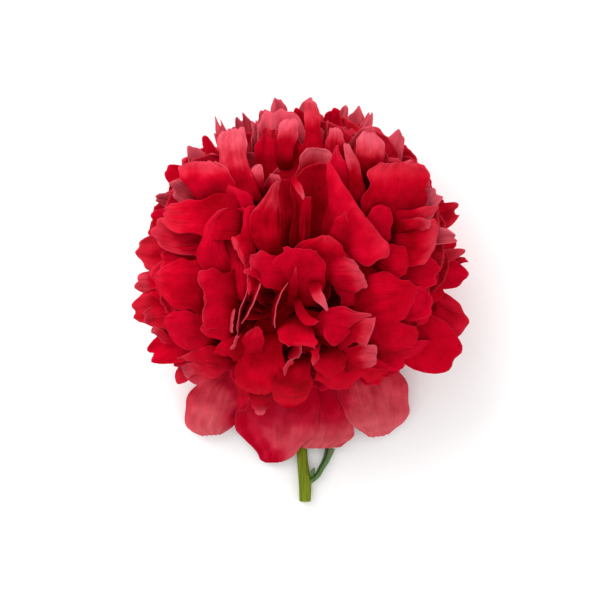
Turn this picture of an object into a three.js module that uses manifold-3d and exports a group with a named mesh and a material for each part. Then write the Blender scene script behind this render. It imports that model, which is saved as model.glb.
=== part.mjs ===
// Cut double peony lying on a table: one deep red bloom facing up on a short green stem.
// Millimetres, +Z up. The origin is on the table under the middle of the flower, the stem's cut
// end points to -Y and the bloom opens towards +Z, leaning a little towards the stem.
import * as THREE from "three";
import Module from "manifold-3d";

const wasm = await Module();
wasm.setup();

// ---------------------------------------------------------------- driving dimensions
const GAP = 0.35;                       // space between neighbouring pieces
const CROWN_GAP = 0.9;                  // the same above the curved guard petals
const CROWN_MIDDLE = [0, 22.5, 48];     // middle of the ball of petals
const CROWN_RADII = [75, 68, 44];       // half width, half length and height above the middle
const CORE_MIDDLE = [0, 20, 49];        // packed petal bases inside the ball
const CORE_RADII = [62, 57, 30];
const END_ROUNDING = 1.3;               // scales the rounding that the rows give
const TOOTH_DEPTH = 0.45;               // scales the teeth that the rows give
const RECEPTACLE = [0, 12, 19];         // top of the stem, where every petal is rooted
const GUARD_ROOT_RADIUS = 6;            // how far from its middle the cupping guards start
const GUARD_DISC = [12, 12, 2.2];       // radii and half thickness of the disc of the guards
const HEEL_RADII = [16, 15, 9];         // foot of the core, on the disc of the guards
const PETAL_THICKNESS = 0.8;
const ROOT_NARROWING = 0.5;             // width of a drawn petal at its root, of its first station
const ROOT_PULL = 0.2;                  // share of the way to the receptacle that its root moves
const ROOT_DEPTH = 14;                  // of its root, below its first station
const FLATTENING = 0.8;                 // share of the height of a middle above its two sides
const STEM_RADIUS = 2.7;                // at the cut
const STEM_NECK_RADIUS = 2.3;           // under the bloom
const SIMPLIFY = 0.1;                   // edges shorter than this are closed up
const degrees = Math.PI / 180;

// ---------------------------------------------------------------- solids from grids
const toManifold = (points, triangles) => new wasm.Manifold(new wasm.Mesh({
  numProp: 3,
  vertProperties: new Float32Array(points.flat()),
  triVerts: new Uint32Array(triangles.flat()),
}));

// A blade has a grid of points on its upper face and the same grid on its lower face. Both are
// split along the same diagonals, and a rim of triangles joins the edges.
const bladeSolid = (upper, lower, across, along) => {
  const index = (i, j) => j * (across + 1) + i;
  const under = upper.length;
  const triangles = [];
  for (let j = 0; j < along; j++) {
    for (let i = 0; i < across; i++) {
      const [a, b, c, d] = [index(i, j), index(i + 1, j), index(i + 1, j + 1), index(i, j + 1)];
      const halves = (i + j) % 2 ? [[a, b, c], [a, c, d]] : [[a, b, d], [b, c, d]];
      for (const [p, q, r] of halves) {
        triangles.push([p, q, r], [r + under, q + under, p + under]);
      }
    }
  }
  const rim = [];
  for (let i = 0; i < across; i++) rim.push([index(i, 0), index(i + 1, 0)]);
  for (let j = 0; j < along; j++) rim.push([index(across, j), index(across, j + 1)]);
  for (let i = across; i > 0; i--) rim.push([index(i, along), index(i - 1, along)]);
  for (let j = along; j > 0; j--) rim.push([index(0, j), index(0, j - 1)]);
  for (const [p, q] of rim) {
    triangles.push([q, p, p + under], [q, p + under, q + under]);
  }
  return toManifold([...upper, ...lower], triangles);
};

// ---------------------------------------------------------------- the shape of a petal
// A petal starts at its root and runs along its heading while its rise turns steadily from
// riseRoot to riseTip. Its width swells to full at three quarters of the length. Its end is
// rounded, skewed and toothed, its cross-section is an arc of half-angle cup, and its outer part
// is waved.
const petalPoint = (petal, u, t) => {
  const v = t * (1 - petal.round * Math.abs(u) ** 3 + petal.skew * u
    + petal.teeth * Math.cos(petal.waves * Math.PI * u + petal.phase));
  const rise0 = petal.riseRoot * degrees;
  const turn = (petal.riseTip - petal.riseRoot) * degrees;
  const rise = rise0 + turn * v;
  const forward = petal.length * (Math.sin(rise) - Math.sin(rise0)) / turn;
  const upward = petal.length * (Math.cos(rise0) - Math.cos(rise)) / turn;
  const swell = Math.sin(Math.PI / 2 * Math.min(1, v / 0.75)) ** 1.2;
  const narrow = 1 - 0.12 * Math.max(0, (v - 0.75) / 0.25) ** 2;
  const half = petal.width / 2 * (petal.claw + (1 - petal.claw) * swell) * narrow;
  const arc = petal.cup * degrees;
  const side = half * Math.sin(arc * u) / arc;
  const lift = half * (1 - Math.cos(arc * u)) / arc
    + petal.ruffle * v * v * (0.3 + 0.7 * u * u) * Math.sin(petal.waves * Math.PI * u + petal.phase)
    + petal.curl * Math.max(0, (v - 0.7) / 0.3) ** 2;
  const heading = petal.heading * degrees;
  const twist = petal.twist * degrees;
  const ahead = [Math.cos(heading), Math.sin(heading), 0];
  const left = [-Math.sin(heading), Math.cos(heading), 0];
  const normal = [-Math.sin(rise) * ahead[0], -Math.sin(rise) * ahead[1], Math.cos(rise)];
  const sideways = side * Math.cos(twist) - lift * Math.sin(twist);
  const outwards = side * Math.sin(twist) + lift * Math.cos(twist);
  return [0, 1, 2].map((k) => petal.root[k] + forward * ahead[k] + (k === 2 ? upward : 0)
    - sideways * left[k] + outwards * normal[k]);
};

// A drawn petal has Catmull-Rom curves along its left side, middle and right side, through its
// stations, joined by a parabola across.
const drawnPoint = ({ stations }, u, t) => {
  const last = stations.length - 1;
  const first = Math.min(Math.floor(t * last), last - 1);
  const f = t * last - first;
  const weights = [
    -f + 2 * f ** 2 - f ** 3, 2 - 5 * f ** 2 + 3 * f ** 3, f + 4 * f ** 2 - 3 * f ** 3,
    f ** 3 - f ** 2,
  ];
  const near = weights.map((_, k) => stations[Math.min(Math.max(first + k - 1, 0), last)]);
  return [0, 1, 2].map((axis) => {
    const [left, middle, right] = [0, 1, 2].map((line) => weights.reduce(
      (sum, weight, k) => sum + weight / 2 * near[k][line][axis], 0));
    return middle + u * (right - left) / 2 + u * u * (left + right - 2 * middle) / 2;
  });
};
const surfacePoint = (petal, u, t) => (petal.stations ? drawnPoint : petalPoint)(petal, u, t);

// The faces lie half the thickness to either side of the middle surface, along its normal. With
// some extra, the solid is that much larger all round. No point goes below the table.
const petalSolid = (petal, across, along, thickness, extra = 0) => {
  const step = 0.01;
  const upper = [];
  const lower = [];
  for (let j = 0; j <= along; j++) {
    for (let i = 0; i <= across; i++) {
      const u = -1 + 2 * i / across;
      const t = j / along;
      const here = new THREE.Vector3(...surfacePoint(petal, u, t));
      const alongU = new THREE.Vector3(...surfacePoint(petal, u + step, t)).sub(here).normalize();
      const alongT = new THREE.Vector3(...surfacePoint(petal, u, t + step)).sub(here).normalize();
      const normal = alongU.clone().cross(alongT).normalize();
      here.addScaledVector(alongU, i === 0 ? -extra : i === across ? extra : 0);
      here.addScaledVector(alongT, j === 0 ? -extra : j === along ? extra : 0);
      const top = here.clone().addScaledVector(normal, thickness / 2 + extra);
      const bottom = here.clone().addScaledVector(normal, -thickness / 2 - extra);
      upper.push([top.x, top.y, Math.max(top.z, thickness + extra)]);
      lower.push([bottom.x, bottom.y, Math.max(bottom.z, -extra)]);
    }
  }
  return bladeSolid(upper, lower, across, along);
};

const petalDefaults = {
  round: 0.2, skew: 0, teeth: 0, waves: 2, phase: 0, claw: 0.45, cup: 40, ruffle: 0, curl: 0,
  twist: 0,
};

// A crown petal is placed by its tip, so its root is worked out backwards along the same arc.
const rootedAtTip = (petal, tip) => {
  const shape = { ...petalDefaults, ...petal, root: [0, 0, 0] };
  const reach = petalPoint({ ...shape, cup: 0.01, ruffle: 0, curl: 0, teeth: 0 }, 0, 1);
  return { ...shape, root: tip.map((value, k) => value - reach[k]) };
};

// ---------------------------------------------------------------- seeded random draws
const drawsFrom = (seed) => {
  let state = seed;
  return (low, high) => {
    state = (state * 1664525 + 1013904223) % 4294967296;
    return low + (high - low) * state / 4294967296;
  };
};

// ---------------------------------------------------------------- crown petals
// Height of the ball of petals above the table at a point seen from above.
const crownHeight = (x, y) => {
  const across = (x - CROWN_MIDDLE[0]) / CROWN_RADII[0];
  const along = (y - CROWN_MIDDLE[1]) / CROWN_RADII[1];
  return CROWN_MIDDLE[2] + CROWN_RADII[2] * Math.sqrt(Math.max(0, 1 - across ** 2 - along ** 2));
};

// Petals of the upper side, each placed by hand. Columns: tip x, tip y, depth of the tip below
// the ball's surface, heading, width, rise of the tip, cup, twist, rounding, skew and teeth of
// the end. These draw the rim of the ball, clockwise from the lower left.
const rimRows = [
  [-55, -36.5, 7, 228, 14, -20, 30, 0, 0.2, 0, 0.03],
  [-66.5, -25, 3, 205, 20, -25, 30, -10, 0.2, 0, 0.05],
  [-75, -5, 0, 188, 22, -12, 28, 5, 0.2, 0, 0.03],
  [-74, 7, 2, 181, 14, -8, 30, -10, 0.2, 0, 0.03],
  [-73, 22, -2, 175, 20, -12, 30, 8, 0.15, 0, 0.04],
  [-66, 38.5, 3, 160, 15, 8, 40, -15, 0.25, 0, 0.02],
  [-65, 47, 5, 162, 9, 15, 50, 15, 0.2, 0, 0.02],
  [-60, 59, 5, 145, 16, 5, 40, -15, 0.25, 0, 0],
  [-49.5, 69, 5, 118, 12, 15, 50, 0, 0.2, 0, 0.03],
  [-43.5, 72, 3, 122, 9, 18, 40, 30, 0.5, 0.1, 0],
  [-37, 80, 4, 108, 8, 10, 40, 0, 0.2, 0, 0.15],
  [-26.5, 82.5, 2, 100, 12, 12, 40, -8, 0.15, 0.05, 0.09],
  [-20, 79.5, 1, 97, 7, 15, 40, 0, 0.2, 0, 0.05],
  [-16, 85.5, 2, 95, 8, 10, 40, 5, 0.12, 0, 0.02],
  [-10, 91, 3, 92, 8, 8, 30, 0, 0.1, 0, 0.02],
  [-9, 85, -3, 93, 24, -8, 35, -5, 0.12, -0.03, 0.04],
  [-1.5, 86, 1, 98, 10, 14, 40, -10, 0.3, 0, 0],
  [4, 91, 0, 87, 12, 10, 60, 15, 0.2, 0, 0.02],
  [15, 86, 3, 84, 12, 10, 40, -15, 0.2, 0, 0.02],
  [21, 88, 1, 76, 8, 14, 50, 20, 0.4, 0, 0],
  [26, 87, 2, 82, 13, 10, 40, 0, 0.25, 0.02, 0.06],
  [31.5, 84, 1.5, 72, 7, 12, 40, 0, 0.2, 0.05, 0.04],
  [32, 77, -2, 66, 16, 14, 45, 10, 0.25, 0, 0.02],
  [45, 76, 2, 68, 14, 10, 45, 0, 0.35, 0, 0],
  [54, 61, 0, 52, 20, -8, 35, 8, 0.2, 0, 0.02],
  [62, 47, 0, 28, 16, 10, 30, 0, 0.15, 0, 0.03],
  [71, 40, 2, 15, 15, 8, 35, -10, 0.15, 0, 0.08],
  [70, 28, 0, 0, 11, 12, 35, 10, 0.2, 0, 0.03],
  [74, 22, 0, 14, 9, 8, 30, 0, 0.5, 0, 0],
  [75.5, 18, 1, 6, 8, 8, 30, -5, 0.5, 0, 0],
  [75, 11, 0, -8, 20, -15, 28, 0, 0.3, 0, 0.02],
  [75, -11, 2, -14, 24, -15, 25, 5, 0.2, 0, 0.02],
  [70, -19, 1, -20, 7, 5, 50, 0, 0.2, 0, 0],
  [69, -27, 4, -32, 28, -38, 25, -8, 0.2, 0, 0.02],
  [42, -33, 5, -48, 16, -30, 30, 0, 0.2, 0, 0.03],
  [34, -37.5, 5, -66, 16, -30, 30, 0, 0.2, 0, 0.03],
];

// Petals that show between the drawn ones, in the same columns.
const underRows = [
  [-65.5, 31, -3, 172, 20, -10, 35, 0, 0.2, 0, 0.03],
  [-66, 10, -1, 188, 25, -8, 35, 0, 0.35, 0, 0.02],
  [-62, 17, 0, 176, 20, -5, 30, 0, 0.2, 0, 0.02],
  [62, 12, 0, -5, 22, -8, 30, 0, 0.2, 0, 0.02],
  [58.5, -4, 0, -18, 22, -14, 30, 0, 0.25, 0, 0.02],
  [47, -27, 1, -22, 20, -32, 30, 0, 0.2, 0, 0.02],
];

// The petals that face up, each drawn by hand by its stations, from the base to the end. A
// station is the petal's left and right side as x, y, x, y, the depths below the ball's surface
// of its left side, middle and right side, and how far its middle bows forward.
const drawnPetals = [
  // heart: the cups above the eye
  [ // heart arch
    [-6, 35, 17, 35, 14, 18, 14, 0],
    [-5, 49, 16, 49, 4, 10, 4, 0],
    [-1, 60.5, 15, 59.5, -1, 4, -1, 0],
    [2, 66, 13.5, 65, -4, -2, -4, 0],
    [5, 67.5, 10.5, 67, -5, -5, -5, 0],
  ],
  [ // heart channel
    [-4, 22.5, 16, 22.5, 8, 17, 10, 0],
    [-4, 37.5, 16.5, 38.5, 4, 13, 6, 0],
    [-3.5, 50.5, 15, 50.5, 0, 9, 2, 0],
    [2, 57.5, 13.5, 57.5, -3, 3, -2, 0],
    [7.5, 60.5, 11.5, 60.5, -4, -3, -4, 0],
  ],
  [ // heart lobe
    [-15, 15.5, -6.5, 17, 8, 6, 9, 0],
    [-20.5, 25.5, -7.5, 25.5, 1, -3, 4, 0],
    [-21.5, 37, -8.5, 37, -2, -6, 3, 0],
    [-17.5, 42.5, -9.5, 43, -4, -6, 0, 0],
    [-13, 50, -9, 50.5, -5, -5, -3, 0],
    [-10, 52.5, -8, 53, -5, -5, -4, 0],
  ],
  [ // heart diagonal
    [9.5, 27.5, 18.5, 16, 10, 12, 8, 0],
    [11.5, 42.5, 23, 14.5, 4, 4, 3, 0],
    [12.5, 52.5, 29, 15.5, -2, -2, -2, 0],
    [13.5, 59.5, 35.5, 19.5, -5, -6, -5, 0],
    [23, 43.5, 39.5, 24, -5, -7, -5, 0],
  ],
  [ // front back
    [-2, 9, 21.5, 8, 6, 4, 6, 0],
    [-4.5, 17, 23, 15.5, 2, -2, 2, 0],
    [-1, 24, 19, 21.5, -2, -6, -3, 0],
    [6, 27, 17, 25.5, -5, -7, -5, 0],
    [9, 28.5, 13.5, 28.5, -6, -7, -6, 0],
  ],
  [ // front right
    [9, 17, 13.5, 7, 4, 4, 6, 0],
    [15.5, 19, 21.5, 4, 0, -1, 3, 0],
    [21, 19.5, 28.5, 4, -2, -3, 2, 0],
    [25.5, 15.5, 30, 8, -2, -3, 0, 0],
  ],
  [ // front main
    [-8, -2.5, 8, -2.5, 18, 12, 14, 0],
    [-13, 7, 10, 5.5, 8, 2, 4, 0],
    [-11.5, 15.5, 10.5, 13.5, 0, -4, -2, 0],
    [-9, 20.5, 9.5, 19.5, -5, -7, -6, 0],
    [-7.5, 23.5, 7, 22, -8, -7, -8, 0],
  ],
  [ // front left
    [-3.5, 4.5, -4.5, 17, 8, 2, 3, 0],
    [-11.5, 5.5, -12.5, 19.5, 4, -3, -1, 0],
    [-17.5, 7.5, -18.5, 21.5, 1, -5, -3, 0],
    [-22, 11.5, -22.5, 19.5, -3, -5, -4, 0],
  ],
  // eye: rims seen from above
  [ // eye left
    [-21.5, 28.5, -16, 7.5, 8, 6, 6, 0],
    [-25.5, 28.5, -20, 5.5, 3, 2, 2, 1],
    [-29, 27, -22.5, 3.5, 0, 0, -1, 2],
    [-30.5, 23.5, -23.5, 2, -1, -1, -1, 3],
  ],
  [ // eye strip long
    [-25.5, -15.5, -21.5, 3, 18, 18, 18, 1],
    [-27, -15.5, -22.5, 3.5, 8, 8, 8, 1.2],
    [-28, -15, -23.5, 4, -3, -3, -3, 1.2],
  ],
  [ // eye strip inner
    [-27.5, -9.5, -20.5, 5.5, 14, 14, 14, -0.7],
    [-26, -9.5, -18.5, 6, 5, 5, 5, -0.7],
    [-25, -10, -17.5, 6.5, -3, -3, -3, -0.7],
  ],
  [ // eye curve
    [-7.5, 6.5, -13, -10, 14, 14, 14, -1.8],
    [-6, 7, -11.5, -11.5, 6, 6, 6, -1.8],
    [-5.5, 7.5, -11, -12, -3, -3, -3, -1.8],
  ],
  [ // eye low left
    [-15, -23, -28.5, -25.5, 8, 7, 8, 0],
    [-16, -18.5, -28.5, -21.5, 4, 2, 4, 0],
    [-17, -14.5, -26.5, -18, 2, 1, 2, 0],
    [-18, -11, -23, -13.5, 1, 0, 1, 0],
  ],
  [ // eye heart
    [20, -8, 9.5, -8, 4, 2, 4, 0],
    [22.5, -12.5, 9.5, -13, -3, -6, -3, 0],
    [20.5, -16, 12, -17.5, -5, -7, -5, 0],
    [17, -19, 13.5, -19.5, -6, -7, -6, 0],
    [15.5, -20.5, 14.5, -20.5, -7, -7, -7, 0],
  ],
  [ // eye far right
    [15.5, -9.5, 17, -22, 6, 4, 6, 0],
    [22, -9.5, 22, -19.5, 0, -2, 0, 0],
    [28.5, -8, 26.5, -19.5, -3, -4, -2, 0],
    [34, -8, 30, -19.5, -5, -5, -4, 0],
  ],
  [ // eye low right
    [17.5, -21, 20, -31.5, 6, 4, 6, 0],
    [25, -19.5, 25.5, -30, 0, -2, 0, 0],
    [30, -19.5, 30, -29.5, -2, -3, -1, 0],
    [34.5, -20.5, 34, -28.5, -4, -4, -3, 0],
  ],
  [ // eye bow
    [4.5, -9.5, -7, -9.5, 6, 4, 6, 0],
    [6, -15.5, -9.5, -14.5, -2, -4, -2, 0],
    [7.5, -19.5, -7.5, -19, -5, -5, -5, 0],
    [7.5, -22, -5.5, -21, -6, -4, -6, -1.5],
  ],
  // lower middle
  [ // low wide
    [-7, -16.5, -25, -16.5, 8, 10, 6, 0],
    [-6.5, -24.5, -27.5, -25.5, 3, 6, 1, 0],
    [-8.5, -33.5, -28.5, -34.5, 2, 4, 0, 0],
    [-10.5, -39.5, -25.5, -40, 3, 1, 2, 0],
    [-14, -42.5, -20.5, -42.5, 4, 3, 4, 0],
  ],
  [ // low round
    [5.5, -27, -9.5, -29, 4, 2, 4, 0],
    [5.5, -35, -12, -36.5, 1, -2, 1, 0],
    [3.5, -42.5, -12, -42.5, 2, -1, 2, 0],
    [-0.5, -47, -9.5, -47, 4, 2, 4, 0],
    [-3.5, -49, -7, -49, 5, 4, 5, 0],
  ],
  [ // low right
    [19, -22, 7, -24.5, 4, 2, 4, 0],
    [20.5, -27, 6, -29, 1, -2, 1, 0],
    [18, -32, 9, -32.5, 2, -1, 2, 0],
    [14.5, -35, 11.5, -35, 4, 3, 4, 0],
  ],
  [ // low right under
    [25, -23, 9.5, -29, 7, 5, 7, 0],
    [27, -31, 7, -33.5, 5, 3, 5, 0],
    [25, -36.5, 9.5, -37.5, 6, 4, 6, 0],
    [21, -40, 15.5, -40.5, 7, 7, 7, 0],
  ],
  [ // low far right
    [41, -24, 23, -29, 7, 6, 7, 0],
    [41, -30, 25.5, -31.5, 6, 4, 6, 0],
    [39, -34.5, 28.5, -35, 7, 5, 7, 0],
    [34.5, -37.5, 29, -37, 8, 8, 8, 0],
  ],
  [ // low left
    [-25.5, -27, -25.5, -14.5, 3, 1, 3, 0],
    [-32, -25.5, -32, -16.5, 1, -2, 1, 0],
    [-36, -24, -36, -19.5, 0, -1, 0, 0],
    [-38.5, -23.5, -38, -22.5, 0, 0, 0, 0],
  ],
  // right
  [ // right big
    [29, 33, 49.5, 35, 8, 6, 8, 0],
    [27.5, 42.5, 55, 43, 0, -4, 1, 0],
    [28.5, 50.5, 58, 50.5, -4, -8, -3, 0],
    [30.5, 57, 57, 57, -6, -8, -4, 0],
    [37, 61, 53, 61, -6, -6, -4, 0],
  ],
  [ // right edge
    [43.5, 32, 41, 17, 4, 2, 6, 0],
    [51.5, 32, 48, 15.5, -3, -6, 1, 0],
    [58, 35, 55, 17, -5, -7, -2, 0],
    [62, 33.5, 59.5, 21.5, -5, -6, -4, 0],
  ],
  [ // right middle
    [35.5, 25, 32, 14.5, 6, 5, 7, 0],
    [41.5, 24, 38, 11.5, -1, -2, 2, 0],
    [46.5, 22.5, 43.5, 10, -1, -3, 1, 0],
    [49, 17, 47, 11.5, 0, -1, 1, 0],
  ],
  [ // right broad
    [23, 5.5, 25, -13, 9, 7, 9, 0],
    [32, 11, 33, -14, 1, -3, 2, 0],
    [41, 11.5, 41, -13, -3, -7, -1, 0],
    [48, 9, 45, -9, -4, -7, -2, 0],
    [52.5, 4, 48.5, -5, -3, -4, -2, 0],
  ],
  [ // right behind
    [40, 4.5, 41, -15.5, 5, 4, 5, 0],
    [48.5, 8, 49.5, -11.5, 1, -2, 2, 0],
    [55, 4.5, 55, -10.5, 1, -1, 2, 0],
    [58, -0.5, 57.5, -7.5, 2, 1, 3, 0],
  ],
  [ // right round
    [26.5, -12, 27.5, -23, 6, 4, 6, 0],
    [35.5, -11, 36.5, -22, 0, -4, 1, 0],
    [44.5, -9.5, 44.5, -22, -2, -6, -1, 0],
    [50.5, -11.5, 49, -21, -2, -4, -1, 0],
    [53, -14.5, 52.5, -17.5, -1, -2, -1, 0],
  ],
  [ // right ridge
    [27.5, 28.5, 37, 24, 5, 4, 5, 0],
    [29, 37.5, 41, 30.5, 0, -2, 1, 0],
    [33.5, 41.5, 40.5, 37.5, -2, -3, -1, 0],
    [37, 42, 39, 41, -2, -2, -2, 0],
  ],
  // top
  [ // top left big
    [-33, 44.5, -17, 44.5, 5, 3, 5, 0],
    [-35.5, 55.5, -20.5, 54.5, -1, -5, -1, 0],
    [-37, 66.5, -23, 66, -4, -7, -3, 0],
    [-36.5, 73, -24, 72, -5, -5, -4, 0],
    [-33.5, 76, -25.5, 77.5, -5, -3, -4, 0],
  ],
  [ // top left wide
    [-46, 42.5, -26.5, 44.5, 5, 3, 5, 0],
    [-51.5, 52.5, -29, 51.5, -2, -5, -1, 0],
    [-52.5, 58.5, -33, 58, -4, -5, -3, 0],
    [-48.5, 61.5, -37, 61.5, -4, -4, -3, 0],
  ],
  [ // left shoulder
    [-26.5, 27, -27.5, 44.5, 4, 0, 2, 0],
    [-37.5, 27, -36.5, 46.5, -1, -5, -2, 0],
    [-48.5, 28.5, -46, 45, -3, -6, -4, 0],
    [-56.5, 31, -54, 43, -4, -5, -4, 0],
    [-61.5, 35.5, -59.5, 41.5, -4, -4, -4, 0],
  ],
  [ // top bright
    [-26.5, 33.5, -17, 35, 8, 7, 8, 0],
    [-32, 42.5, -19.5, 42.5, 3, 1, 4, 0],
    [-34, 48, -22, 48, 0, -2, 2, 0],
    [-33, 51, -26.5, 51.5, -1, -2, 0, 0],
  ],
  [ // cup band
    [-33, 4.5, -24.5, 7, 6, 5, 12, 0],
    [-42, 12.5, -28.5, 14.5, 0, -3, 8, 0],
    [-46, 21.5, -31.5, 20, -3, -5, 5, 0],
    [-43, 29.5, -32.5, 27.5, -4, -5, 4, 0],
    [-40, 35.5, -32, 34.5, -4, -5, 3, 0],
    [-33.5, 41.5, -29.5, 40, -3, -3, 2, 0],
  ],
  [ // cup inside
    [-33, 14.5, -24, 17, 11, 13, 12, 0],
    [-34.5, 24, -25, 27.5, 8, 11, 9, 0],
    [-34.5, 34, -23.5, 36, 3, 8, 5, 0],
    [-32, 41, -24, 41, 0, 1, 0, 0],
  ],
  [ // top deep
    [-17, 49, 0, 49, 10, 13, 10, 0],
    [-19.5, 60, 1.5, 60, 8, 12, 8, 0],
    [-19.5, 68.5, 1.5, 67.5, 4, 8, 5, 0],
    [-18.5, 74, 0, 72.5, 1, 4, 2, 0],
    [-16, 77, -2.5, 75.5, -1, 1, 0, 0],
  ],
  [ // top right round
    [25, 54.5, 37, 56, 5, 3, 5, 0],
    [25, 63, 37, 63, -2, -5, -1, 0],
    [25.5, 70, 37, 69, -4, -6, -3, 0],
    [27, 75, 34, 74, -5, -5, -4, 0],
  ],
  // left
  [ // left big
    [-41.5, -8, -41.5, 17, 4, 0, 3, 0],
    [-48.5, -6, -48.5, 19.5, -1, -5, -1, 0],
    [-56.5, -2.5, -55, 17, -4, -6, -3, 0],
    [-62, 3.5, -61, 14, -4, -5, -4, 0],
    [-65.5, 10, -65, 11.5, -4, -4, -4, 0],
  ],
  [ // left two points
    [-29, -11, -29, 13.5, 6, 2, 6, 0],
    [-36, -11.5, -37, 13.5, 0, -4, 1, 0],
    [-41.5, -11.5, -43, 12, -4, -7, -3, 0],
    [-44.5, -6, -46.5, 8, -5, -5, -5, -4],
  ],
  [ // left smooth
    [-38, -22, -39, -5, 4, 2, 5, 0],
    [-46.5, -23, -47, -5, -1, -5, 0, 0],
    [-54, -19.5, -53, -5, -3, -6, -2, 0],
    [-58.5, -14.5, -57.5, -6, -4, -5, -3, 0],
    [-61, -9.5, -60, -7, -4, -4, -4, 0],
  ],
  [ // left low pale
    [-28.5, -27, -34.5, -23, 9, 6, 7, 0],
    [-34.5, -32.5, -41.5, -25.5, 4, 1, 3, 0],
    [-41, -36.5, -48.5, -27, 4, 1, 3, 0],
    [-46.5, -38, -53, -27.5, 5, 3, 3, 0],
    [-51.5, -35.5, -54.5, -28.5, 5, 4, 3, 0],
  ],
];

const random = drawsFrom(20417);
const placedPetal = ([x, y, depth, heading, width, rise, cup, twist, round, skew, teeth]) => {
  const petal = {
    heading, width, cup, twist, skew,
    length: 34 + width,
    riseTip: rise,
    riseRoot: rise + 38,
    round: END_ROUNDING * round,
    teeth: TOOTH_DEPTH * teeth,
    waves: random(1.6, 3.2),
    phase: random(0, 6.28),
    ruffle: random(0.5, 1.8) * (1 - rise / 100),
    curl: random(-1, 1.5),
  };
  return rootedAtTip(petal, [x, y, crownHeight(x, y) - depth]);
};

// The left side, middle and right side of a station, with its depths or heights as they are.
const stationPoints = ([xLeft, yLeft, xRight, yRight, left, middle, right, bow]) => {
  const chord = Math.hypot(xRight - xLeft, yRight - yLeft);
  return [
    [xLeft, yLeft, left],
    [(xLeft + xRight) / 2 - bow * (yRight - yLeft) / chord,
      (yLeft + yRight) / 2 + bow * (xRight - xLeft) / chord, middle],
    [xRight, yRight, right],
  ];
};

// A drawn petal of the crown starts deep inside the ball, narrow and near the receptacle.
const drawnCrownPetal = (rows) => {
  const stations = rows.map((row) => {
    const points = stationPoints(row);
    const flat = (points[0][2] + points[2][2]) / 2;
    points[1][2] += FLATTENING * Math.max(0, flat - points[1][2]);
    return points.map(([x, y, depth]) => [x, y, crownHeight(x, y) - depth]);
  });
  const [base] = stations;
  const root = base.map((point) => {
    const [x, y, z] = point.map((value, axis) => (
      base[1][axis] + ROOT_NARROWING * (value - base[1][axis])));
    return [
      x - ROOT_PULL * (x - RECEPTACLE[0]), y - ROOT_PULL * (y - RECEPTACLE[1]), z - ROOT_DEPTH,
    ];
  });
  return { stations: [root, ...stations] };
};

// Petals of the sides, in rings that cup the ball from below its rim. They lean over one another
// the same way round, so that each lies on the next. Columns: height of the tips, how far out
// they reach, how many, rise of the tips, rise of the roots.
const sideRings = [
  [44, 0.94, 14, 40, -8],
  [33, 0.9, 12, 50, -20],
];
const ringPetals = ([height, reach, count, riseTip, riseRoot]) => {
  const petals = [];
  for (let k = 0; k < count; k++) {
    const heading = 360 * (k + random(-0.15, 0.15)) / count + height * 5;
    const out = reach * random(0.95, 1);
    const tip = [
      CROWN_MIDDLE[0] + CROWN_RADII[0] * out * Math.cos(heading * degrees),
      CROWN_MIDDLE[1] + CROWN_RADII[1] * out * Math.sin(heading * degrees),
      height + random(-3, 3),
    ];
    petals.push(rootedAtTip({
      heading: heading + random(-6, 6),
      width: random(30, 36),
      cup: random(22, 32),
      twist: random(8, 16),
      length: 40,
      riseTip: riseTip + random(-8, 8),
      riseRoot,
      round: random(0.22, 0.3),
      waves: random(1.6, 3.2),
      phase: random(0, 6.28),
      ruffle: random(0.6, 1.6),
      curl: random(-1, 1.5),
    }, tip));
  }
  return petals;
};
const rimPetals = rimRows.map(placedPetal);
const underPetals = underRows.map(placedPetal);
const sidePetals = sideRings.flatMap(ringPetals);
const crownPetals = drawnPetals.map(drawnCrownPetal);

// ---------------------------------------------------------------- guard petals
// The outermost whorl, rooted on the rim of one small disc on top of the receptacle. Eight cup
// the ball, and three of those press flat on the table, round the flower's weight. Columns:
// heading, length, width, rise at the root, rise at the tip, cup.
const guardRows = [
  [328, 66, 40, -75, 60, 24],
  [3, 66, 40, -45, 66, 30],
  [40, 67, 40, -45, 66, 30],
  [78, 68, 40, -73, 62, 24],
  [112, 67, 40, -45, 66, 30],
  [146, 66, 40, -45, 66, 30],
  [178, 66, 40, -45, 66, 30],
  [211, 66, 40, -75, 60, 24],
];
// The four that hang over the stem are drawn as the crown's are, but with heights above the
// table in place of depths.
const drawnGuards = [
  [ // guard left
    [-6.5, 0, 3, 3.5, 19, 19, 19, 0],
    [-28.5, -21, -9, -28.5, 17, 18, 16, 0],
    [-47.5, -39, -20, -39.5, 12, 15, 11, 0],
    [-52, -50.5, -24, -50.5, 8, 11, 7, 0],
    [-50.5, -60, -30.5, -58, 6, 8, 5, 0],
    [-46, -62.5, -36, -62, 5, 6, 5, 0],
  ],
  [ // guard middle left
    [-4.5, -0.5, 3, 0, 19, 19, 19, 0],
    [-17.5, -22.5, 3.5, -23.5, 18, 19, 18, 0],
    [-25.5, -41, 7, -42, 13, 16, 14, 0],
    [-29, -53.5, 7.5, -54, 10, 14, 11, 0],
    [-26, -63, 5, -63, 6, 11, 9, 0],
    [-20, -72, -0.5, -70, 3, 8, 7, 0],
    [-15.5, -75, -8, -74.5, 3, 5, 4, 0],
  ],
  [ // guard middle
    [-2, -0.5, 5.5, 0, 19, 19, 19, 0],
    [-3, -22.5, 16.5, -22.5, 15, 16, 14, 0],
    [-2, -43.5, 25, -43, 11, 11, 9, 0],
    [-1, -56, 26.5, -56.5, 8, 9, 7, 0],
    [0, -63, 23, -64, 7, 8, 6.5, 0],
    [1.5, -68.5, 16.5, -68, 6.5, 7, 6.5, 0],
  ],
  [ // guard right
    [0, 2, 7.5, -0.5, 19, 19, 19, 0],
    [11, -23.5, 33, -15.5, 17, 18, 17, 0],
    [16.5, -38.5, 46, -33, 13, 15, 12, 0],
    [20, -49, 49.5, -46.5, 11, 12, 8, 0],
    [25.5, -59, 47.5, -56.5, 9, 9, 6, 0],
    [31.5, -63.5, 40.5, -62.5, 7, 7, 5, 0],
  ],
];
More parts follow.
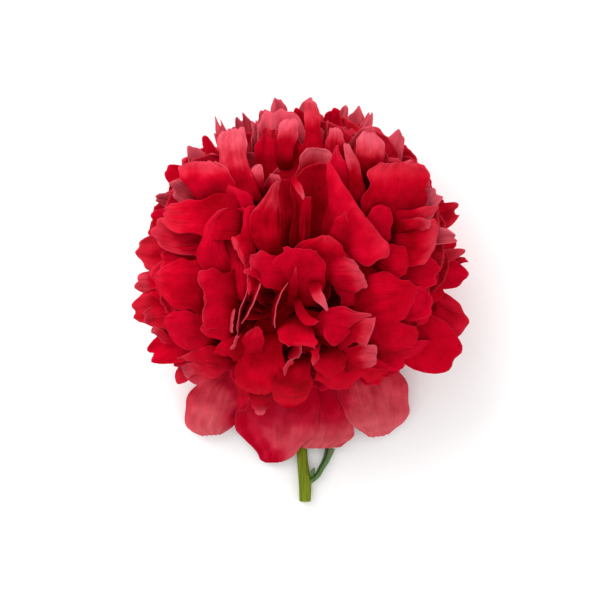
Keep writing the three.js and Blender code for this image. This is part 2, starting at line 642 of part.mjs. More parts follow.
const cuppingGuards = guardRows.map(([heading, length, width, riseRoot, riseTip, cup], k) => ({
  ...petalDefaults, heading, length, width, riseRoot, riseTip, cup,
  root: [
    RECEPTACLE[0] + GUARD_ROOT_RADIUS * Math.cos(heading * degrees),
    RECEPTACLE[1] + GUARD_ROOT_RADIUS * Math.sin(heading * degrees),
    RECEPTACLE[2],
  ],
  claw: 0.25,
  twist: 9,
  round: 0.24,
  ruffle: 1.2,
  waves: 2.2,
  phase: k * 1.7,
}));

// ---------------------------------------------------------------- booleans on solids
const largestBody = (solid) => {
  const bodies = solid.decompose();
  bodies.sort((a, b) => b.volume() - a.volume());
  return bodies[0];
};

const fuse = (solids) => wasm.Manifold.union(solids);

const solidOf = (geometry) => {
  const position = geometry.getAttribute("position");
  const keys = new Map();
  const points = [];
  const remap = [];
  for (let i = 0; i < position.count; i++) {
    const point = [position.getX(i), position.getY(i), position.getZ(i)];
    const key = point.map((value) => value.toFixed(4)).join();
    if (!keys.has(key)) {
      keys.set(key, points.length);
      points.push(point);
    }
    remap.push(keys.get(key));
  }
  const corners = geometry.index ? Array.from(geometry.index.array) : [...remap.keys()];
  const triangles = [];
  for (let i = 0; i < corners.length; i += 3) {
    const [a, b, c] = corners.slice(i, i + 3).map((corner) => remap[corner]);
    if (a !== b && b !== c && c !== a) triangles.push([a, b, c]);
  }
  return toManifold(points, triangles);
};

const ellipsoid = (middle, radii, around, down) => {
  const geometry = new THREE.SphereGeometry(1, around, down);
  geometry.rotateX(Math.PI / 2);
  geometry.scale(...radii);
  geometry.translate(...middle);
  return solidOf(geometry);
};

// A tube with round sections whose radius changes along a smooth curve through the stations.
// Each station: x, y, z, radius.
const taperedTube = (stations, sides, steps) => {
  const curve = new THREE.CatmullRomCurve3(
    stations.map(([x, y, z]) => new THREE.Vector3(x, y, z)), false, "centripetal");
  const widths = new THREE.CatmullRomCurve3(
    stations.map(([, , , radius], k) => new THREE.Vector3(k, radius, 0)));
  const frames = curve.computeFrenetFrames(steps, false);
  const points = [];
  const triangles = [];
  for (let j = 0; j <= steps; j++) {
    const centre = curve.getPoint(j / steps);
    const radius = widths.getPoint(j / steps).y;
    for (let i = 0; i < sides; i++) {
      const angle = 2 * Math.PI * i / sides;
      const rim = centre.clone()
        .addScaledVector(frames.normals[j], radius * Math.cos(angle))
        .addScaledVector(frames.binormals[j], radius * Math.sin(angle));
      points.push(rim.toArray());
      if (j < steps) {
        const a = j * sides + i;
        const b = j * sides + (i + 1) % sides;
        triangles.push([a, b, b + sides], [a, b + sides, a + sides]);
      }
    }
  }
  const first = points.push(curve.getPoint(0).toArray()) - 1;
  const last = points.push(curve.getPoint(1).toArray()) - 1;
  for (let i = 0; i < sides; i++) {
    const next = (i + 1) % sides;
    triangles.push([first, next, i], [last, steps * sides + i, steps * sides + next]);
  }
  return toManifold(points, triangles);
};

// ---------------------------------------------------------------- the pieces
const meshOf = (name, solid, colour, roughness) => {
  const mesh = solid.getMesh();
  const geometry = new THREE.BufferGeometry();
  geometry.setAttribute("position", new THREE.BufferAttribute(mesh.vertProperties, 3));
  geometry.setIndex(new THREE.BufferAttribute(mesh.triVerts, 1));
  geometry.computeVertexNormals();
  const material = new THREE.MeshStandardMaterial({ color: colour, roughness, metalness: 0 });
  const part = new THREE.Mesh(geometry, material);
  part.name = name;
  return part;
};

// Guard petals: twelve blades and the disc that carries them.
const hangingGuards = drawnGuards.map((rows) => ({ stations: rows.map(stationPoints) }));
const guardWhorl = (extra) => fuse([
  ellipsoid(RECEPTACLE, GUARD_DISC.map((radius) => radius + extra), 20, 8),
  ...cuppingGuards.map((petal) => petalSolid(petal, 4, 6, PETAL_THICKNESS, extra)),
  ...hangingGuards.map((petal) => petalSolid(petal, 4, 8, PETAL_THICKNESS, extra)),
]);
const guards = largestBody(guardWhorl(0)).simplify(SIMPLIFY);

// Crown: every petal of the ball, grown from one core of packed petal bases whose heel sits on
// the disc of the guard petals.
const heel = ellipsoid(
  [RECEPTACLE[0], RECEPTACLE[1], RECEPTACLE[2] + HEEL_RADII[2]], HEEL_RADII, 16, 8);
const crownParts = [
  ellipsoid(CORE_MIDDLE, CORE_RADII, 16, 10),
  heel,
  ...[...rimPetals, ...underPetals].map((petal) => petalSolid(petal, 2, 3, PETAL_THICKNESS)),
  ...sidePetals.map((petal) => petalSolid(petal, 2, 3, PETAL_THICKNESS)),
  ...crownPetals.map((petal) => (
    petalSolid(petal, 2, petal.stations.length - 1, PETAL_THICKNESS))),
];
const crown = largestBody(
  fuse(crownParts).subtract(guardWhorl(CROWN_GAP)).simplify(SIMPLIFY));

// Calyx: the swollen top of the stem with five rounded sepals under the guard petals.
const SEPAL_THICKNESS = 1.1;
const sepals = [0, 1, 2, 3, 4].map((k) => {
  const heading = 54 + 72 * k;
  return {
    ...petalDefaults, heading,
    root: [
      RECEPTACLE[0] + 4 * Math.cos(heading * degrees),
      RECEPTACLE[1] + 4 * Math.sin(heading * degrees),
      RECEPTACLE[2] - 8,
    ],
    length: 19, width: 15, riseRoot: -50, riseTip: 2, cup: 25, claw: 0.6,
  };
});
const bulb = (extra) => ellipsoid(
  [RECEPTACLE[0], RECEPTACLE[1], RECEPTACLE[2] - 6.5],
  [8.5 + extra, 8.5 + extra, 6 + extra], 20, 10);
const calyx = (extra) => fuse([
  bulb(extra),
  ...sepals.map((sepal) => petalSolid(sepal, 4, 4, SEPAL_THICKNESS, extra)),
]);

// Stem: it lies on the table from its cut end and bends up into the calyx. A side stalk forks off
// near the cut, with a small pointed bract in the fork.
const stemStations = [
  [2.3, -93.2, 2.8, 2.45],
  [2.3, -92.6, 2.8, STEM_RADIUS],
  [2.3, -85, 2.95, 2.85],
  [1.5, -78, 2.75, 2.55],
  [0.9, -70, 2.65, 2.45],
  [0.6, -58, 2.5, STEM_NECK_RADIUS],
  [0.2, -30, 2.6, STEM_NECK_RADIUS],
  [0, -10, 3.4, STEM_NECK_RADIUS],
  [0, 1, 6.2, 2.4],
  [0, 8, 10.5, 2.8],
];
const stalkStations = [
  [2.9, -84.3, 2.9, 1.5],
  [7.6, -81, 3.1, 1.4],
  [9.9, -77.2, 3, 1.45],
  [12.2, -73.1, 2.9, 1.75],
  [13.9, -68, 2.9, 2.3],
];
const bract = {
  ...petalDefaults, root: [5.2, -81.2, 3.5], heading: 71, length: 4.4, width: 2,
  riseRoot: 10, riseTip: 18, cup: 30, claw: 0.9, round: 0.6,
};
const stemParts = (extra) => fuse([
  taperedTube(stemStations.map(([x, y, z, r]) => [x, y, z, r + extra]), 10, 20),
  taperedTube(stalkStations.map(([x, y, z, r]) => [x, y, z, r + extra]), 8, 8),
  petalSolid(bract, 2, 3, 0.7, extra),
]);

// Side leaf: the folded blade that the side stalk carries, lying on the table under the bloom.
const leafBlade = {
  ...petalDefaults, root: [14.2, -67.4, 1.7], heading: 82, length: 42, width: 15,
  riseRoot: -4, riseTip: 4, cup: 42, claw: 0.3, round: 0.55, ruffle: 0.5,
};
const leafSolid = petalSolid(leafBlade, 4, 10, 0.9);

const lowerGuardClearance = guardWhorl(GAP);
const stemBelowCalyx = taperedTube(
  stemStations.slice(0, -1).map(([x, y, z, r]) => [x, y, z, r + GAP]), 10, 20);
const calyxPart = largestBody(calyx(0).subtract(lowerGuardClearance).subtract(stemBelowCalyx))
  .simplify(SIMPLIFY);
const stemPart = largestBody(stemParts(0).subtract(calyx(GAP)).subtract(lowerGuardClearance))
  .simplify(SIMPLIFY);
const leafPart = largestBody(leafSolid.subtract(lowerGuardClearance).subtract(stemParts(GAP)));

const flower = new THREE.Group();
flower.add(
  meshOf("bloom", crown, 0xb80420, 0.75),
  meshOf("guard_petals", guards, 0xc24652, 0.75),
  meshOf("calyx", calyxPart, 0x5f7a34, 0.6),
  meshOf("stem", stemPart, 0x7c8a2c, 0.55),
  meshOf("side_leaf", leafPart, 0x3d6b39, 0.6),
);
export default flower;
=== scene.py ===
import math

import bpy
import numpy as np
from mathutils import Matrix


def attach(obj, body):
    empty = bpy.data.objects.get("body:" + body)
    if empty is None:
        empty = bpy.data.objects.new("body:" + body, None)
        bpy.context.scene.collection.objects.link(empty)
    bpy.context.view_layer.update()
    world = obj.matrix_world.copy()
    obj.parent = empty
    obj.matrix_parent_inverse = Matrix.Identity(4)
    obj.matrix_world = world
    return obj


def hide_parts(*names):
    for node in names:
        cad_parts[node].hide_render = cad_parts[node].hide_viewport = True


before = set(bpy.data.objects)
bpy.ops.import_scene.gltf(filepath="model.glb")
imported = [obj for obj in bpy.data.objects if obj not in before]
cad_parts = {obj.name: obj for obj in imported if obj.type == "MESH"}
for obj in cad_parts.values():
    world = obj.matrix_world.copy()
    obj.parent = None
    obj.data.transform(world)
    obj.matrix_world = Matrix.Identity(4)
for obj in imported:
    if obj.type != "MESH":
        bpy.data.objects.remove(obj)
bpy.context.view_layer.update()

# ---------------------------------------------------------------- crown of petals
# The dark bases and paler rims are partly the petals' own colour and partly painted shade and
# sheen.
# The ball of the bloom: deep crimson petals in many layers, grown from one receptacle. The petals
# of the side that faces up are each placed one by one, and the sides are closed by rings of petals
# that cup the ball. Each is a thin waved blade, dark at its base and paler towards its rim.
# Lengths are in millimetres up to the meshes, which are in metres.
CROWN_MIDDLE = (0, 22.5, 48)   # of the ball of petals
CROWN_RADII = (75, 68, 44)
RECEPTACLE = (0, 12, 19)       # where all petals start
PETAL_THICKNESS = 0.6
END_ROUNDING = 1.3             # strength of the rows' rounding of the end
TOOTH_DEPTH = 0.45             # strength of the rows' teeth
ROOT_NARROWING = 0.5           # width of a drawn petal's root, as a share of its first station
ROOT_PULL = 0.2                # how far that root moves towards the receptacle, as a share
ROOT_DEPTH = 14                # how far that root lies below the first station
FLATTENING = 0.8               # share that is taken off the bulge of a drawn petal's middle
NARROW_PETAL = 6               # half width below which a petal's folds get shallower
WIDE_PETAL = 16                # width below which a drawn petal's end gets smoother
DARK_SHARE = 0.3               # depth at which the shade is full, as a share of the ball
SHADE_OUTSIDE = 0.15           # strength of the shade away from the hollows
# The hollows where the painted shade is strongest. Columns: x, y, half width, half length, strength
# of the shade.
HOLLOWS = [(-8, -2, 27, 20, 1), (4, 40, 12, 20, 0.4), (-29, 30, 8, 14, 0.6)]

# Columns of all these rows: tip x, tip y, depth of the tip below the ball's surface, heading,
# width, rise of the tip, cup, twist, rounding of the end, skew of the end, teeth, and paleness.
rim_rows = [
    (-55, -36.5, 7, 228, 14, -20, 30, 0, 0.2, 0, 0.03, 0.3),
    (-66.5, -25, 3, 205, 20, -25, 30, -10, 0.2, 0, 0.05, 0.1),
    (-75, -5, 0, 188, 22, -12, 28, 5, 0.2, 0, 0.03, 0.3),
    (-74, 7, 2, 181, 14, -8, 30, -10, 0.2, 0, 0.03, 0.5),
    (-73, 22, -2, 175, 20, -12, 30, 8, 0.15, 0, 0.04, 0.35),
    (-66, 38.5, 3, 160, 15, 8, 40, -15, 0.25, 0, 0.02, 0.05),
    (-65, 47, 5, 162, 9, 15, 50, 15, 0.2, 0, 0.02, 0.9),
    (-60, 59, 5, 145, 16, 5, 40, -15, 0.25, 0, 0, 0.05),
    (-49.5, 69, 5, 118, 12, 15, 50, 0, 0.2, 0, 0.03, 1.0),
    (-43.5, 72, 3, 122, 9, 18, 40, 30, 0.5, 0.1, 0, 0.15),
    (-37, 80, 4, 108, 8, 10, 40, 0, 0.2, 0, 0.15, 0.8),
    (-26.5, 82.5, 2, 100, 12, 12, 40, -8, 0.15, 0.05, 0.09, 0.75),
    (-20, 79.5, 1, 97, 7, 15, 40, 0, 0.2, 0, 0.05, 0.9),
    (-16, 85.5, 2, 95, 8, 10, 40, 5, 0.12, 0, 0.02, 0.95),
    (-10, 91, 3, 92, 8, 8, 30, 0, 0.1, 0, 0.02, 1.0),
    (-9, 85, -3, 93, 24, -8, 35, -5, 0.12, -0.03, 0.04, 0.7),
    (-1.5, 86, 1, 98, 10, 14, 40, -10, 0.3, 0, 0, 0.1),
    (4, 91, 0, 87, 12, 10, 60, 15, 0.2, 0, 0.02, 0.95),
    (15, 86, 3, 84, 12, 10, 40, -15, 0.2, 0, 0.02, 0.05),
    (21, 88, 1, 76, 8, 14, 50, 20, 0.4, 0, 0, 0.9),
    (26, 87, 2, 82, 13, 10, 40, 0, 0.25, 0.02, 0.06, 1.0),
    (31.5, 84, 1.5, 72, 7, 12, 40, 0, 0.2, 0.05, 0.04, 0.9),
    (32, 77, -2, 66, 16, 14, 45, 10, 0.25, 0, 0.02, 0.6),
    (45, 76, 2, 68, 14, 10, 45, 0, 0.35, 0, 0, 0.8),
    (54, 61, 0, 52, 20, -8, 35, 8, 0.2, 0, 0.02, 0.5),
    (62, 47, 0, 28, 16, 10, 30, 0, 0.15, 0, 0.03, 0.85),
    (71, 40, 2, 15, 15, 8, 35, -10, 0.15, 0, 0.08, 0.3),
    (70, 28, 0, 0, 11, 12, 35, 10, 0.2, 0, 0.03, 0.85),
    (74, 22, 0, 14, 9, 8, 30, 0, 0.5, 0, 0, 0.5),
    (75.5, 18, 1, 6, 8, 8, 30, -5, 0.5, 0, 0, 0.3),
    (75, 11, 0, -8, 20, -15, 28, 0, 0.3, 0, 0.02, 0.1),
    (75, -11, 2, -14, 24, -15, 25, 5, 0.2, 0, 0.02, 0.25),
    (70, -19, 1, -20, 7, 5, 50, 0, 0.2, 0, 0, 1.0),
    (69, -27, 4, -32, 28, -38, 25, -8, 0.2, 0, 0.02, 0.05),
    (42, -33, 5, -48, 16, -30, 30, 0, 0.2, 0, 0.03, 0.1),
    (34, -37.5, 5, -66, 16, -30, 30, 0, 0.2, 0, 0.03, 0.05),
]
# Petals below those that are drawn further down, in the same columns.
under_rows = [
    (-57, 52, -2, 150, 14, 18, 40, 0, 0.2, 0, 0.04, 0.8),
    (-65.5, 31, -3, 172, 20, -10, 35, 0, 0.2, 0, 0.03, 0.4),
    (11.7, 80, -1, 90, 4, 25, 40, 65, 0.5, 0, 0, 0.4),
    (-66, 10, -1, 188, 25, -8, 35, 0, 0.35, 0, 0.02, 0.25),
    (-62, 17, 0, 176, 20, -5, 30, 0, 0.2, 0, 0.02, 0.15),
    (-71, -8, -1, 192, 14, 10, 30, 0, 0.3, 0, 0.03, 0.4),
    (-57, -28, 0, 208, 12, -12, 35, 0, 0.35, 0, 0.02, 0.2),
    (-28, -38, 3, 240, 18, -35, 35, 0, 0.25, 0, 0.02, 0),
    (62, 12, 0, -5, 22, -8, 30, 0, 0.2, 0, 0.02, 0.1),
    (58.5, -4, 0, -18, 22, -14, 30, 0, 0.25, 0, 0.02, 0.05),
    (59.5, -21, 0, -18, 17, -15, 30, 0, 0.3, 0, 0, 0.1),
    (47, -27, 1, -22, 20, -32, 30, 0, 0.2, 0, 0.02, 0),
]
# Rings of the sides. Columns: height of the tips, how far out they reach, how many, rise of the
# tips, rise of the roots.
ring_rows = [(44, 0.94, 14, 40, -8), (33, 0.9, 12, 50, -20)]
# Rings that close the sides between those and the petals above, in the same columns.
filling_rows = [(53, 0.92, 17, 34, -6), (62, 0.88, 17, 24, -12)]

# The petals that face up, each drawn as its paleness and its stations, from the base to
# the end. A station is the petal's left and right side as x, y, x, y, the depths below the
# ball's surface of its left side, middle and right side, and how far its middle bows forward.
drawn_petals = {
    # heart: the cups above the eye
    "heart_arch": (0.95, [
        (-6, 35, 17, 35, 14, 18, 14, 0),
        (-5, 49, 16, 49, 4, 10, 4, 0),
        (-1, 60.5, 15, 59.5, -1, 4, -1, 0),
        (2, 66, 13.5, 65, -4, -2, -4, 0),
        (5, 67.5, 10.5, 67, -5, -5, -5, 0),
    ]),
    "heart_channel": (0.15, [
        (-4, 22.5, 16, 22.5, 8, 17, 10, 0),
        (-4, 37.5, 16.5, 38.5, 4, 13, 6, 0),
        (-3.5, 50.5, 15, 50.5, 0, 9, 2, 0),
        (2, 57.5, 13.5, 57.5, -3, 3, -2, 0),
        (7.5, 60.5, 11.5, 60.5, -4, -3, -4, 0),
    ]),
    "heart_lobe": (0.55, [
        (-15, 15.5, -6.5, 17, 8, 6, 9, 0),
        (-20.5, 25.5, -7.5, 25.5, 1, -3, 4, 0),
        (-21.5, 37, -8.5, 37, -2, -6, 3, 0),
        (-17.5, 42.5, -9.5, 43, -4, -6, 0, 0),
        (-13, 50, -9, 50.5, -5, -5, -3, 0),
        (-10, 52.5, -8, 53, -5, -5, -4, 0),
    ]),
    "heart_trough": (0.15, [
        (-8.5, 20.5, 2, 20.5, 4, 13, 8, 0),
        (-8.5, 35, 2, 35, 1, 10, 6, 0),
        (-9.5, 46.5, 1, 44.5, -2, 6, 4, 0),
        (-10, 51.5, -1.5, 50, -4, 1, 0, 0),
        (-9, 53.5, -4.5, 53.5, -5, -3, -2, 0),
    ]),
    "heart_fold": (0.7, [
        (-4.5, 53, -3.5, 54.5, -3, -3, -3, 0),
        (-2.5, 49.5, -0.5, 52, -5, -5.5, -5, 0),
        (0, 46, 1.5, 48.5, -6, -6, -6, 0),
        (1.5, 44, 2, 45.5, -6, -6, -6, 0),
    ]),
    "heart_tongue": (0.3, [
        (-0.5, 24, 4, 24, 12, 8, 12, 0),
        (0, 35, 4.5, 35, 7, 4, 7, 0),
        (1, 42.5, 5, 42.5, 4, 2, 4, 0),
        (1.5, 45.5, 5, 46, 2, 1, 2, 0),
    ]),
    "heart_diagonal": (0.3, [
        (9.5, 27.5, 18.5, 16, 10, 12, 8, 0),
        (11.5, 42.5, 23, 14.5, 4, 4, 3, 0),
        (12.5, 52.5, 29, 15.5, -2, -2, -2, 0),
        (13.5, 59.5, 35.5, 19.5, -5, -6, -5, 0),
        (23, 43.5, 39.5, 24, -5, -7, -5, 0),
    ]),
    "heart_point": (0.3, [
        (10.5, 21.5, 18.5, 20.5, 4, 2, 4, 0),
        (13, 30, 20, 27.5, -4, -6, -5, 0),
        (15, 35, 21, 33, -8, -10, -9, 0),
        (18.5, 37.5, 20.5, 36.5, -11, -11, -11, 0),
        (20, 39, 20.5, 39, -12, -12, -12, 0),
    ]),
    "front_back": (0.3, [
        (-2, 9, 21.5, 8, 6, 4, 6, 0),
        (-4.5, 17, 23, 15.5, 2, -2, 2, 0),
        (-1, 24, 19, 21.5, -2, -6, -3, 0),
        (6, 27, 17, 25.5, -5, -7, -5, 0),
        (9, 28.5, 13.5, 28.5, -6, -7, -6, 0),
    ]),
    "front_right": (0.6, [
        (9, 17, 13.5, 7, 4, 4, 6, 0),
        (15.5, 19, 21.5, 4, 0, -1, 3, 0),
        (21, 19.5, 28.5, 4, -2, -3, 2, 0),
        (25.5, 15.5, 30, 8, -2, -3, 0, 0),
    ]),
    "front_main": (0.15, [
        (-8, -2.5, 8, -2.5, 18, 12, 14, 0),
        (-13, 7, 10, 5.5, 8, 2, 4, 0),
        (-11.5, 15.5, 10.5, 13.5, 0, -4, -2, 0),
        (-9, 20.5, 9.5, 19.5, -5, -7, -6, 0),
        (-7.5, 23.5, 7, 22, -8, -7, -8, 0),
    ]),
    "front_left": (0.35, [
        (-3.5, 4.5, -4.5, 17, 8, 2, 3, 0),
        (-11.5, 5.5, -12.5, 19.5, 4, -3, -1, 0),
        (-17.5, 7.5, -18.5, 21.5, 1, -5, -3, 0),
        (-22, 11.5, -22.5, 19.5, -3, -5, -4, 0),
    ]),
    "front_tooth": (0.4, [
        (-17, 9.5, -18, 16, 1, -3, 0, 0),
        (-21.5, 10.5, -22, 14.5, -3, -5, -3, 0),
        (-25, 12, -25, 13, -4, -4, -4, 0),
    ]),
    # eye: rims seen from above
    "eye_left": (0.4, [
        (-21.5, 28.5, -16, 7.5, 8, 6, 6, 0),
        (-25.5, 28.5, -20, 5.5, 3, 2, 2, 1),
        (-29, 27, -22.5, 3.5, 0, 0, -1, 2),
        (-30.5, 23.5, -23.5, 2, -1, -1, -1, 3),
    ]),
    "eye_left_bed": (0.1, [
        (-35.5, 28.5, -19.5, 27.5, 8, 6, 8, 0),
        (-33.5, 17, -20.5, 17, 6, 4, 7, 0),
        (-30.5, 6.5, -21.5, 6.5, 6, 5, 8, 0),
        (-26.5, -1, -22, -1, 8, 8, 9, 0),
    ]),
    "eye_strip_long": (0.6, [
        (-25.5, -15.5, -21.5, 3, 18, 18, 18, 1),
        (-27, -15.5, -22.5, 3.5, 8, 8, 8, 1.2),
        (-28, -15, -23.5, 4, -3, -3, -3, 1.2),
    ]),
    "eye_strip_inner": (0.6, [
        (-27.5, -9.5, -20.5, 5.5, 14, 14, 14, -0.7),
        (-26, -9.5, -18.5, 6, 5, 5, 5, -0.7),
        (-25, -10, -17.5, 6.5, -3, -3, -3, -0.7),
    ]),
    "eye_strip_short": (0.7, [
        (-32.5, -13, -31, -5, 10, 10, 10, 0),
        (-31.5, -13.5, -30, -4.5, 3, 3, 3, 0),
        (-30, -14, -29, -4.5, -3, -3, -3, 0),
    ]),
    "eye_strip_lower": (0.7, [
        (-28, -23, -25.5, -16.5, 8, 8, 8, 0),
        (-29, -22.5, -26.5, -15.5, 2, 2, 2, 0),
        (-31, -22, -28, -15.5, -3, -3, -3, 0),
    ]),
    "eye_curve": (0.6, [
        (-7.5, 6.5, -13, -10, 14, 14, 14, -1.8),
        (-6, 7, -11.5, -11.5, 6, 6, 6, -1.8),
        (-5.5, 7.5, -11, -12, -3, -3, -3, -1.8),
    ]),
    "eye_low_left": (0.3, [
        (-15, -23, -28.5, -25.5, 8, 7, 8, 0),
        (-16, -18.5, -28.5, -21.5, 4, 2, 4, 0),
        (-17, -14.5, -26.5, -18, 2, 1, 2, 0),
        (-18, -11, -23, -13.5, 1, 0, 1, 0),
    ]),
    "eye_point": (0.35, [
        (-6, -2.5, -0.5, -2.5, 12, 8, 12, 0),
        (-5.5, 4, -1, 4, 4, 1, 4, 0),
        (-4, 9, -1, 9, -2, -3, -2, 0),
        (-2.5, 12.5, -1.5, 12.5, -6, -6, -6, 0),
        (-2, 14.5, -1.5, 14.5, -7, -7, -7, 0),
    ]),
    "eye_flare": (0.25, [
        (-3, 0, 0, 1, 6, 5, 6, 0),
        (-1.5, -6, 2, -4, 0, -2, 0, 0),
        (1.5, -10.5, 5, -7.5, -3, -5, -3, 0),
        (5, -11.5, 7.5, -8.5, -4, -5, -4, 0),
        (7, -10, 8.5, -9.5, -5, -5, -5, 0),
    ]),
    "eye_rolled_tip": (1, [
        (3.5, 7.5, 9.5, 8, 2, 0, 2, 0),
        (5.5, 1.5, 9.5, 4, -5, -7, -6, 0),
        (8.5, -2, 11.5, 0, -8, -9, -8, 0),
        (12, -5, 12.5, -4.5, -9, -9, -9, 0),
    ]),
    "eye_right": (0.45, [
        (5.5, -9.5, 7, -15.5, 8, 6, 8, 0),
        (11, -4.5, 11.5, -15, 0, -3, 0, 0),
        (18.5, -3, 19, -13, -3, -5, -2, 0),
        (25.5, -5, 25.5, -9.5, -4, -5, -3, 0),
        (31.5, -6, 32, -7, -4, -4, -4, 0),
    ]),
    "eye_right_bed": (0.1, [
        (17, 14.5, 34.5, 17, 8, 6, 8, 0),
        (16, 4, 35.5, 4.5, 7, 5, 7, 0),
        (18.5, -3.5, 32, -2.5, 9, 8, 9, 0),
    ]),
    "eye_heart": (0.3, [
        (20, -8, 9.5, -8, 4, 2, 4, 0),
        (22.5, -12.5, 9.5, -13, -3, -6, -3, 0),
        (20.5, -16, 12, -17.5, -5, -7, -5, 0),
        (17, -19, 13.5, -19.5, -6, -7, -6, 0),
        (15.5, -20.5, 14.5, -20.5, -7, -7, -7, 0),
    ]),
    "eye_far_right": (0.5, [
        (15.5, -9.5, 17, -22, 6, 4, 6, 0),
        (22, -9.5, 22, -19.5, 0, -2, 0, 0),
        (28.5, -8, 26.5, -19.5, -3, -4, -2, 0),
        (34, -8, 30, -19.5, -5, -5, -4, 0),
    ]),
    "eye_low_right": (0.7, [
        (17.5, -21, 20, -31.5, 6, 4, 6, 0),
        (25, -19.5, 25.5, -30, 0, -2, 0, 0),
        (30, -19.5, 30, -29.5, -2, -3, -1, 0),
        (34.5, -20.5, 34, -28.5, -4, -4, -3, 0),
    ]),
    "eye_bow": (0.3, [
        (4.5, -9.5, -7, -9.5, 6, 4, 6, 0),
        (6, -15.5, -9.5, -14.5, -2, -4, -2, 0),
        (7.5, -19.5, -7.5, -19, -5, -5, -5, 0),
        (7.5, -22, -5.5, -21, -6, -4, -6, -1.5),
    ]),
    "eye_hanging": (0.5, [
        (9, -18.5, 5, -19.5, 2, 0, 2, 0),
        (8.5, -22, 5, -23, -5, -6, -5, 0),
        (8.5, -25.5, 5, -26.5, -6, -7, -6, 0),
        (6, -29, 5.5, -29, -7, -7, -7, 0),
    ]),
    "eye_curl": (0.5, [
        (-2, -19, -5.5, -24.5, 8, 8, 8, 0.5),
        (-0.5, -19.5, -4.5, -26, 2, 2, 2, 1.5),
        (1, -20, -3, -27, -3, -3, -3, 1.8),
    ]),
    "eye_low_curl": (0.5, [
        (-2, -28, -5, -34, 8, 8, 8, -1),
        (-4, -26.5, -7, -32.5, -3, -3, -3, -1.2),
    ]),
    # lower middle
    "low_wide": (0, [
        (-7, -16.5, -25, -16.5, 8, 10, 6, 0),
        (-6.5, -24.5, -27.5, -25.5, 3, 6, 1, 0),
        (-8.5, -33.5, -28.5, -34.5, 2, 4, 0, 0),
        (-10.5, -39.5, -25.5, -40, 3, 1, 2, 0),
        (-14, -42.5, -20.5, -42.5, 4, 3, 4, 0),
    ]),
    "low_round": (0.1, [
        (5.5, -27, -9.5, -29, 4, 2, 4, 0),
        (5.5, -35, -12, -36.5, 1, -2, 1, 0),
        (3.5, -42.5, -12, -42.5, 2, -1, 2, 0),
        (-0.5, -47, -9.5, -47, 4, 2, 4, 0),
        (-3.5, -49, -7, -49, 5, 4, 5, 0),
    ]),
    "low_tip": (0.8, [
        (-13, -40.5, -21.5, -41.5, 9, 7, 9, 0),
        (-13.5, -46.5, -21.5, -47.5, 8, 6, 8, 0),
        (-15.5, -50.5, -20.5, -50.5, 8, 7, 8, 0),
        (-17, -52, -19, -52, 9, 9, 9, 0),
    ]),
    "low_right": (0.1, [
        (19, -22, 7, -24.5, 4, 2, 4, 0),
        (20.5, -27, 6, -29, 1, -2, 1, 0),
        (18, -32, 9, -32.5, 2, -1, 2, 0),
        (14.5, -35, 11.5, -35, 4, 3, 4, 0),
    ]),
    "low_right_under": (0, [
        (25, -23, 9.5, -29, 7, 5, 7, 0),
        (27, -31, 7, -33.5, 5, 3, 5, 0),
        (25, -36.5, 9.5, -37.5, 6, 4, 6, 0),
        (21, -40, 15.5, -40.5, 7, 7, 7, 0),
    ]),
    "low_far_right": (0.05, [
        (41, -24, 23, -29, 7, 6, 7, 0),
        (41, -30, 25.5, -31.5, 6, 4, 6, 0),
        (39, -34.5, 28.5, -35, 7, 5, 7, 0),
        (34.5, -37.5, 29, -37, 8, 8, 8, 0),
    ]),
    "low_left": (0.2, [
        (-25.5, -27, -25.5, -14.5, 3, 1, 3, 0),
        (-32, -25.5, -32, -16.5, 1, -2, 1, 0),
        (-36, -24, -36, -19.5, 0, -1, 0, 0),
        (-38.5, -23.5, -38, -22.5, 0, 0, 0, 0),
    ]),
    # right
    "right_big": (0.4, [
        (29, 33, 49.5, 35, 8, 6, 8, 0),
        (27.5, 42.5, 55, 43, 0, -4, 1, 0),
        (28.5, 50.5, 58, 50.5, -4, -8, -3, 0),
        (30.5, 57, 57, 57, -6, -8, -4, 0),
        (37, 61, 53, 61, -6, -6, -4, 0),
    ]),
    "right_fold": (0.5, [
        (41, 39, 41.5, 34, 4, 2, 4, 0),
        (48.5, 40, 49.5, 35, -2, -4, -1, 0),
        (56.5, 41.5, 57.5, 37, -4, -5, -3, 0),
        (62.5, 41.5, 60, 39, -4, -4, -3, 0),
    ]),
    "right_lozenge": (0.7, [
        (42.5, 35, 44.5, 29.5, 2, 0, 2, 0),
        (48, 35.5, 49.5, 31.5, -5, -7, -5, 0),
        (54, 36.5, 55, 31, -7, -8, -6, 0),
        (58.5, 35, 57, 31.5, -7, -7, -6, 0),
    ]),
    "right_edge": (0.45, [
        (43.5, 32, 41, 17, 4, 2, 6, 0),
        (51.5, 32, 48, 15.5, -3, -6, 1, 0),
        (58, 35, 55, 17, -5, -7, -2, 0),
        (62, 33.5, 59.5, 21.5, -5, -6, -4, 0),
    ]),
    "right_middle": (0.15, [
        (35.5, 25, 32, 14.5, 6, 5, 7, 0),
        (41.5, 24, 38, 11.5, -1, -2, 2, 0),
        (46.5, 22.5, 43.5, 10, -1, -3, 1, 0),
        (49, 17, 47, 11.5, 0, -1, 1, 0),
    ]),
    "right_broad": (0.15, [
        (23, 5.5, 25, -13, 9, 7, 9, 0),
        (32, 11, 33, -14, 1, -3, 2, 0),
        (41, 11.5, 41, -13, -3, -7, -1, 0),
        (48, 9, 45, -9, -4, -7, -2, 0),
        (52.5, 4, 48.5, -5, -3, -4, -2, 0),
    ]),
    "right_behind": (0.1, [
        (40, 4.5, 41, -15.5, 5, 4, 5, 0),
        (48.5, 8, 49.5, -11.5, 1, -2, 2, 0),
        (55, 4.5, 55, -10.5, 1, -1, 2, 0),
        (58, -0.5, 57.5, -7.5, 2, 1, 3, 0),
    ]),
    "right_round": (0.1, [
        (26.5, -12, 27.5, -23, 6, 4, 6, 0),
        (35.5, -11, 36.5, -22, 0, -4, 1, 0),
        (44.5, -9.5, 44.5, -22, -2, -6, -1, 0),
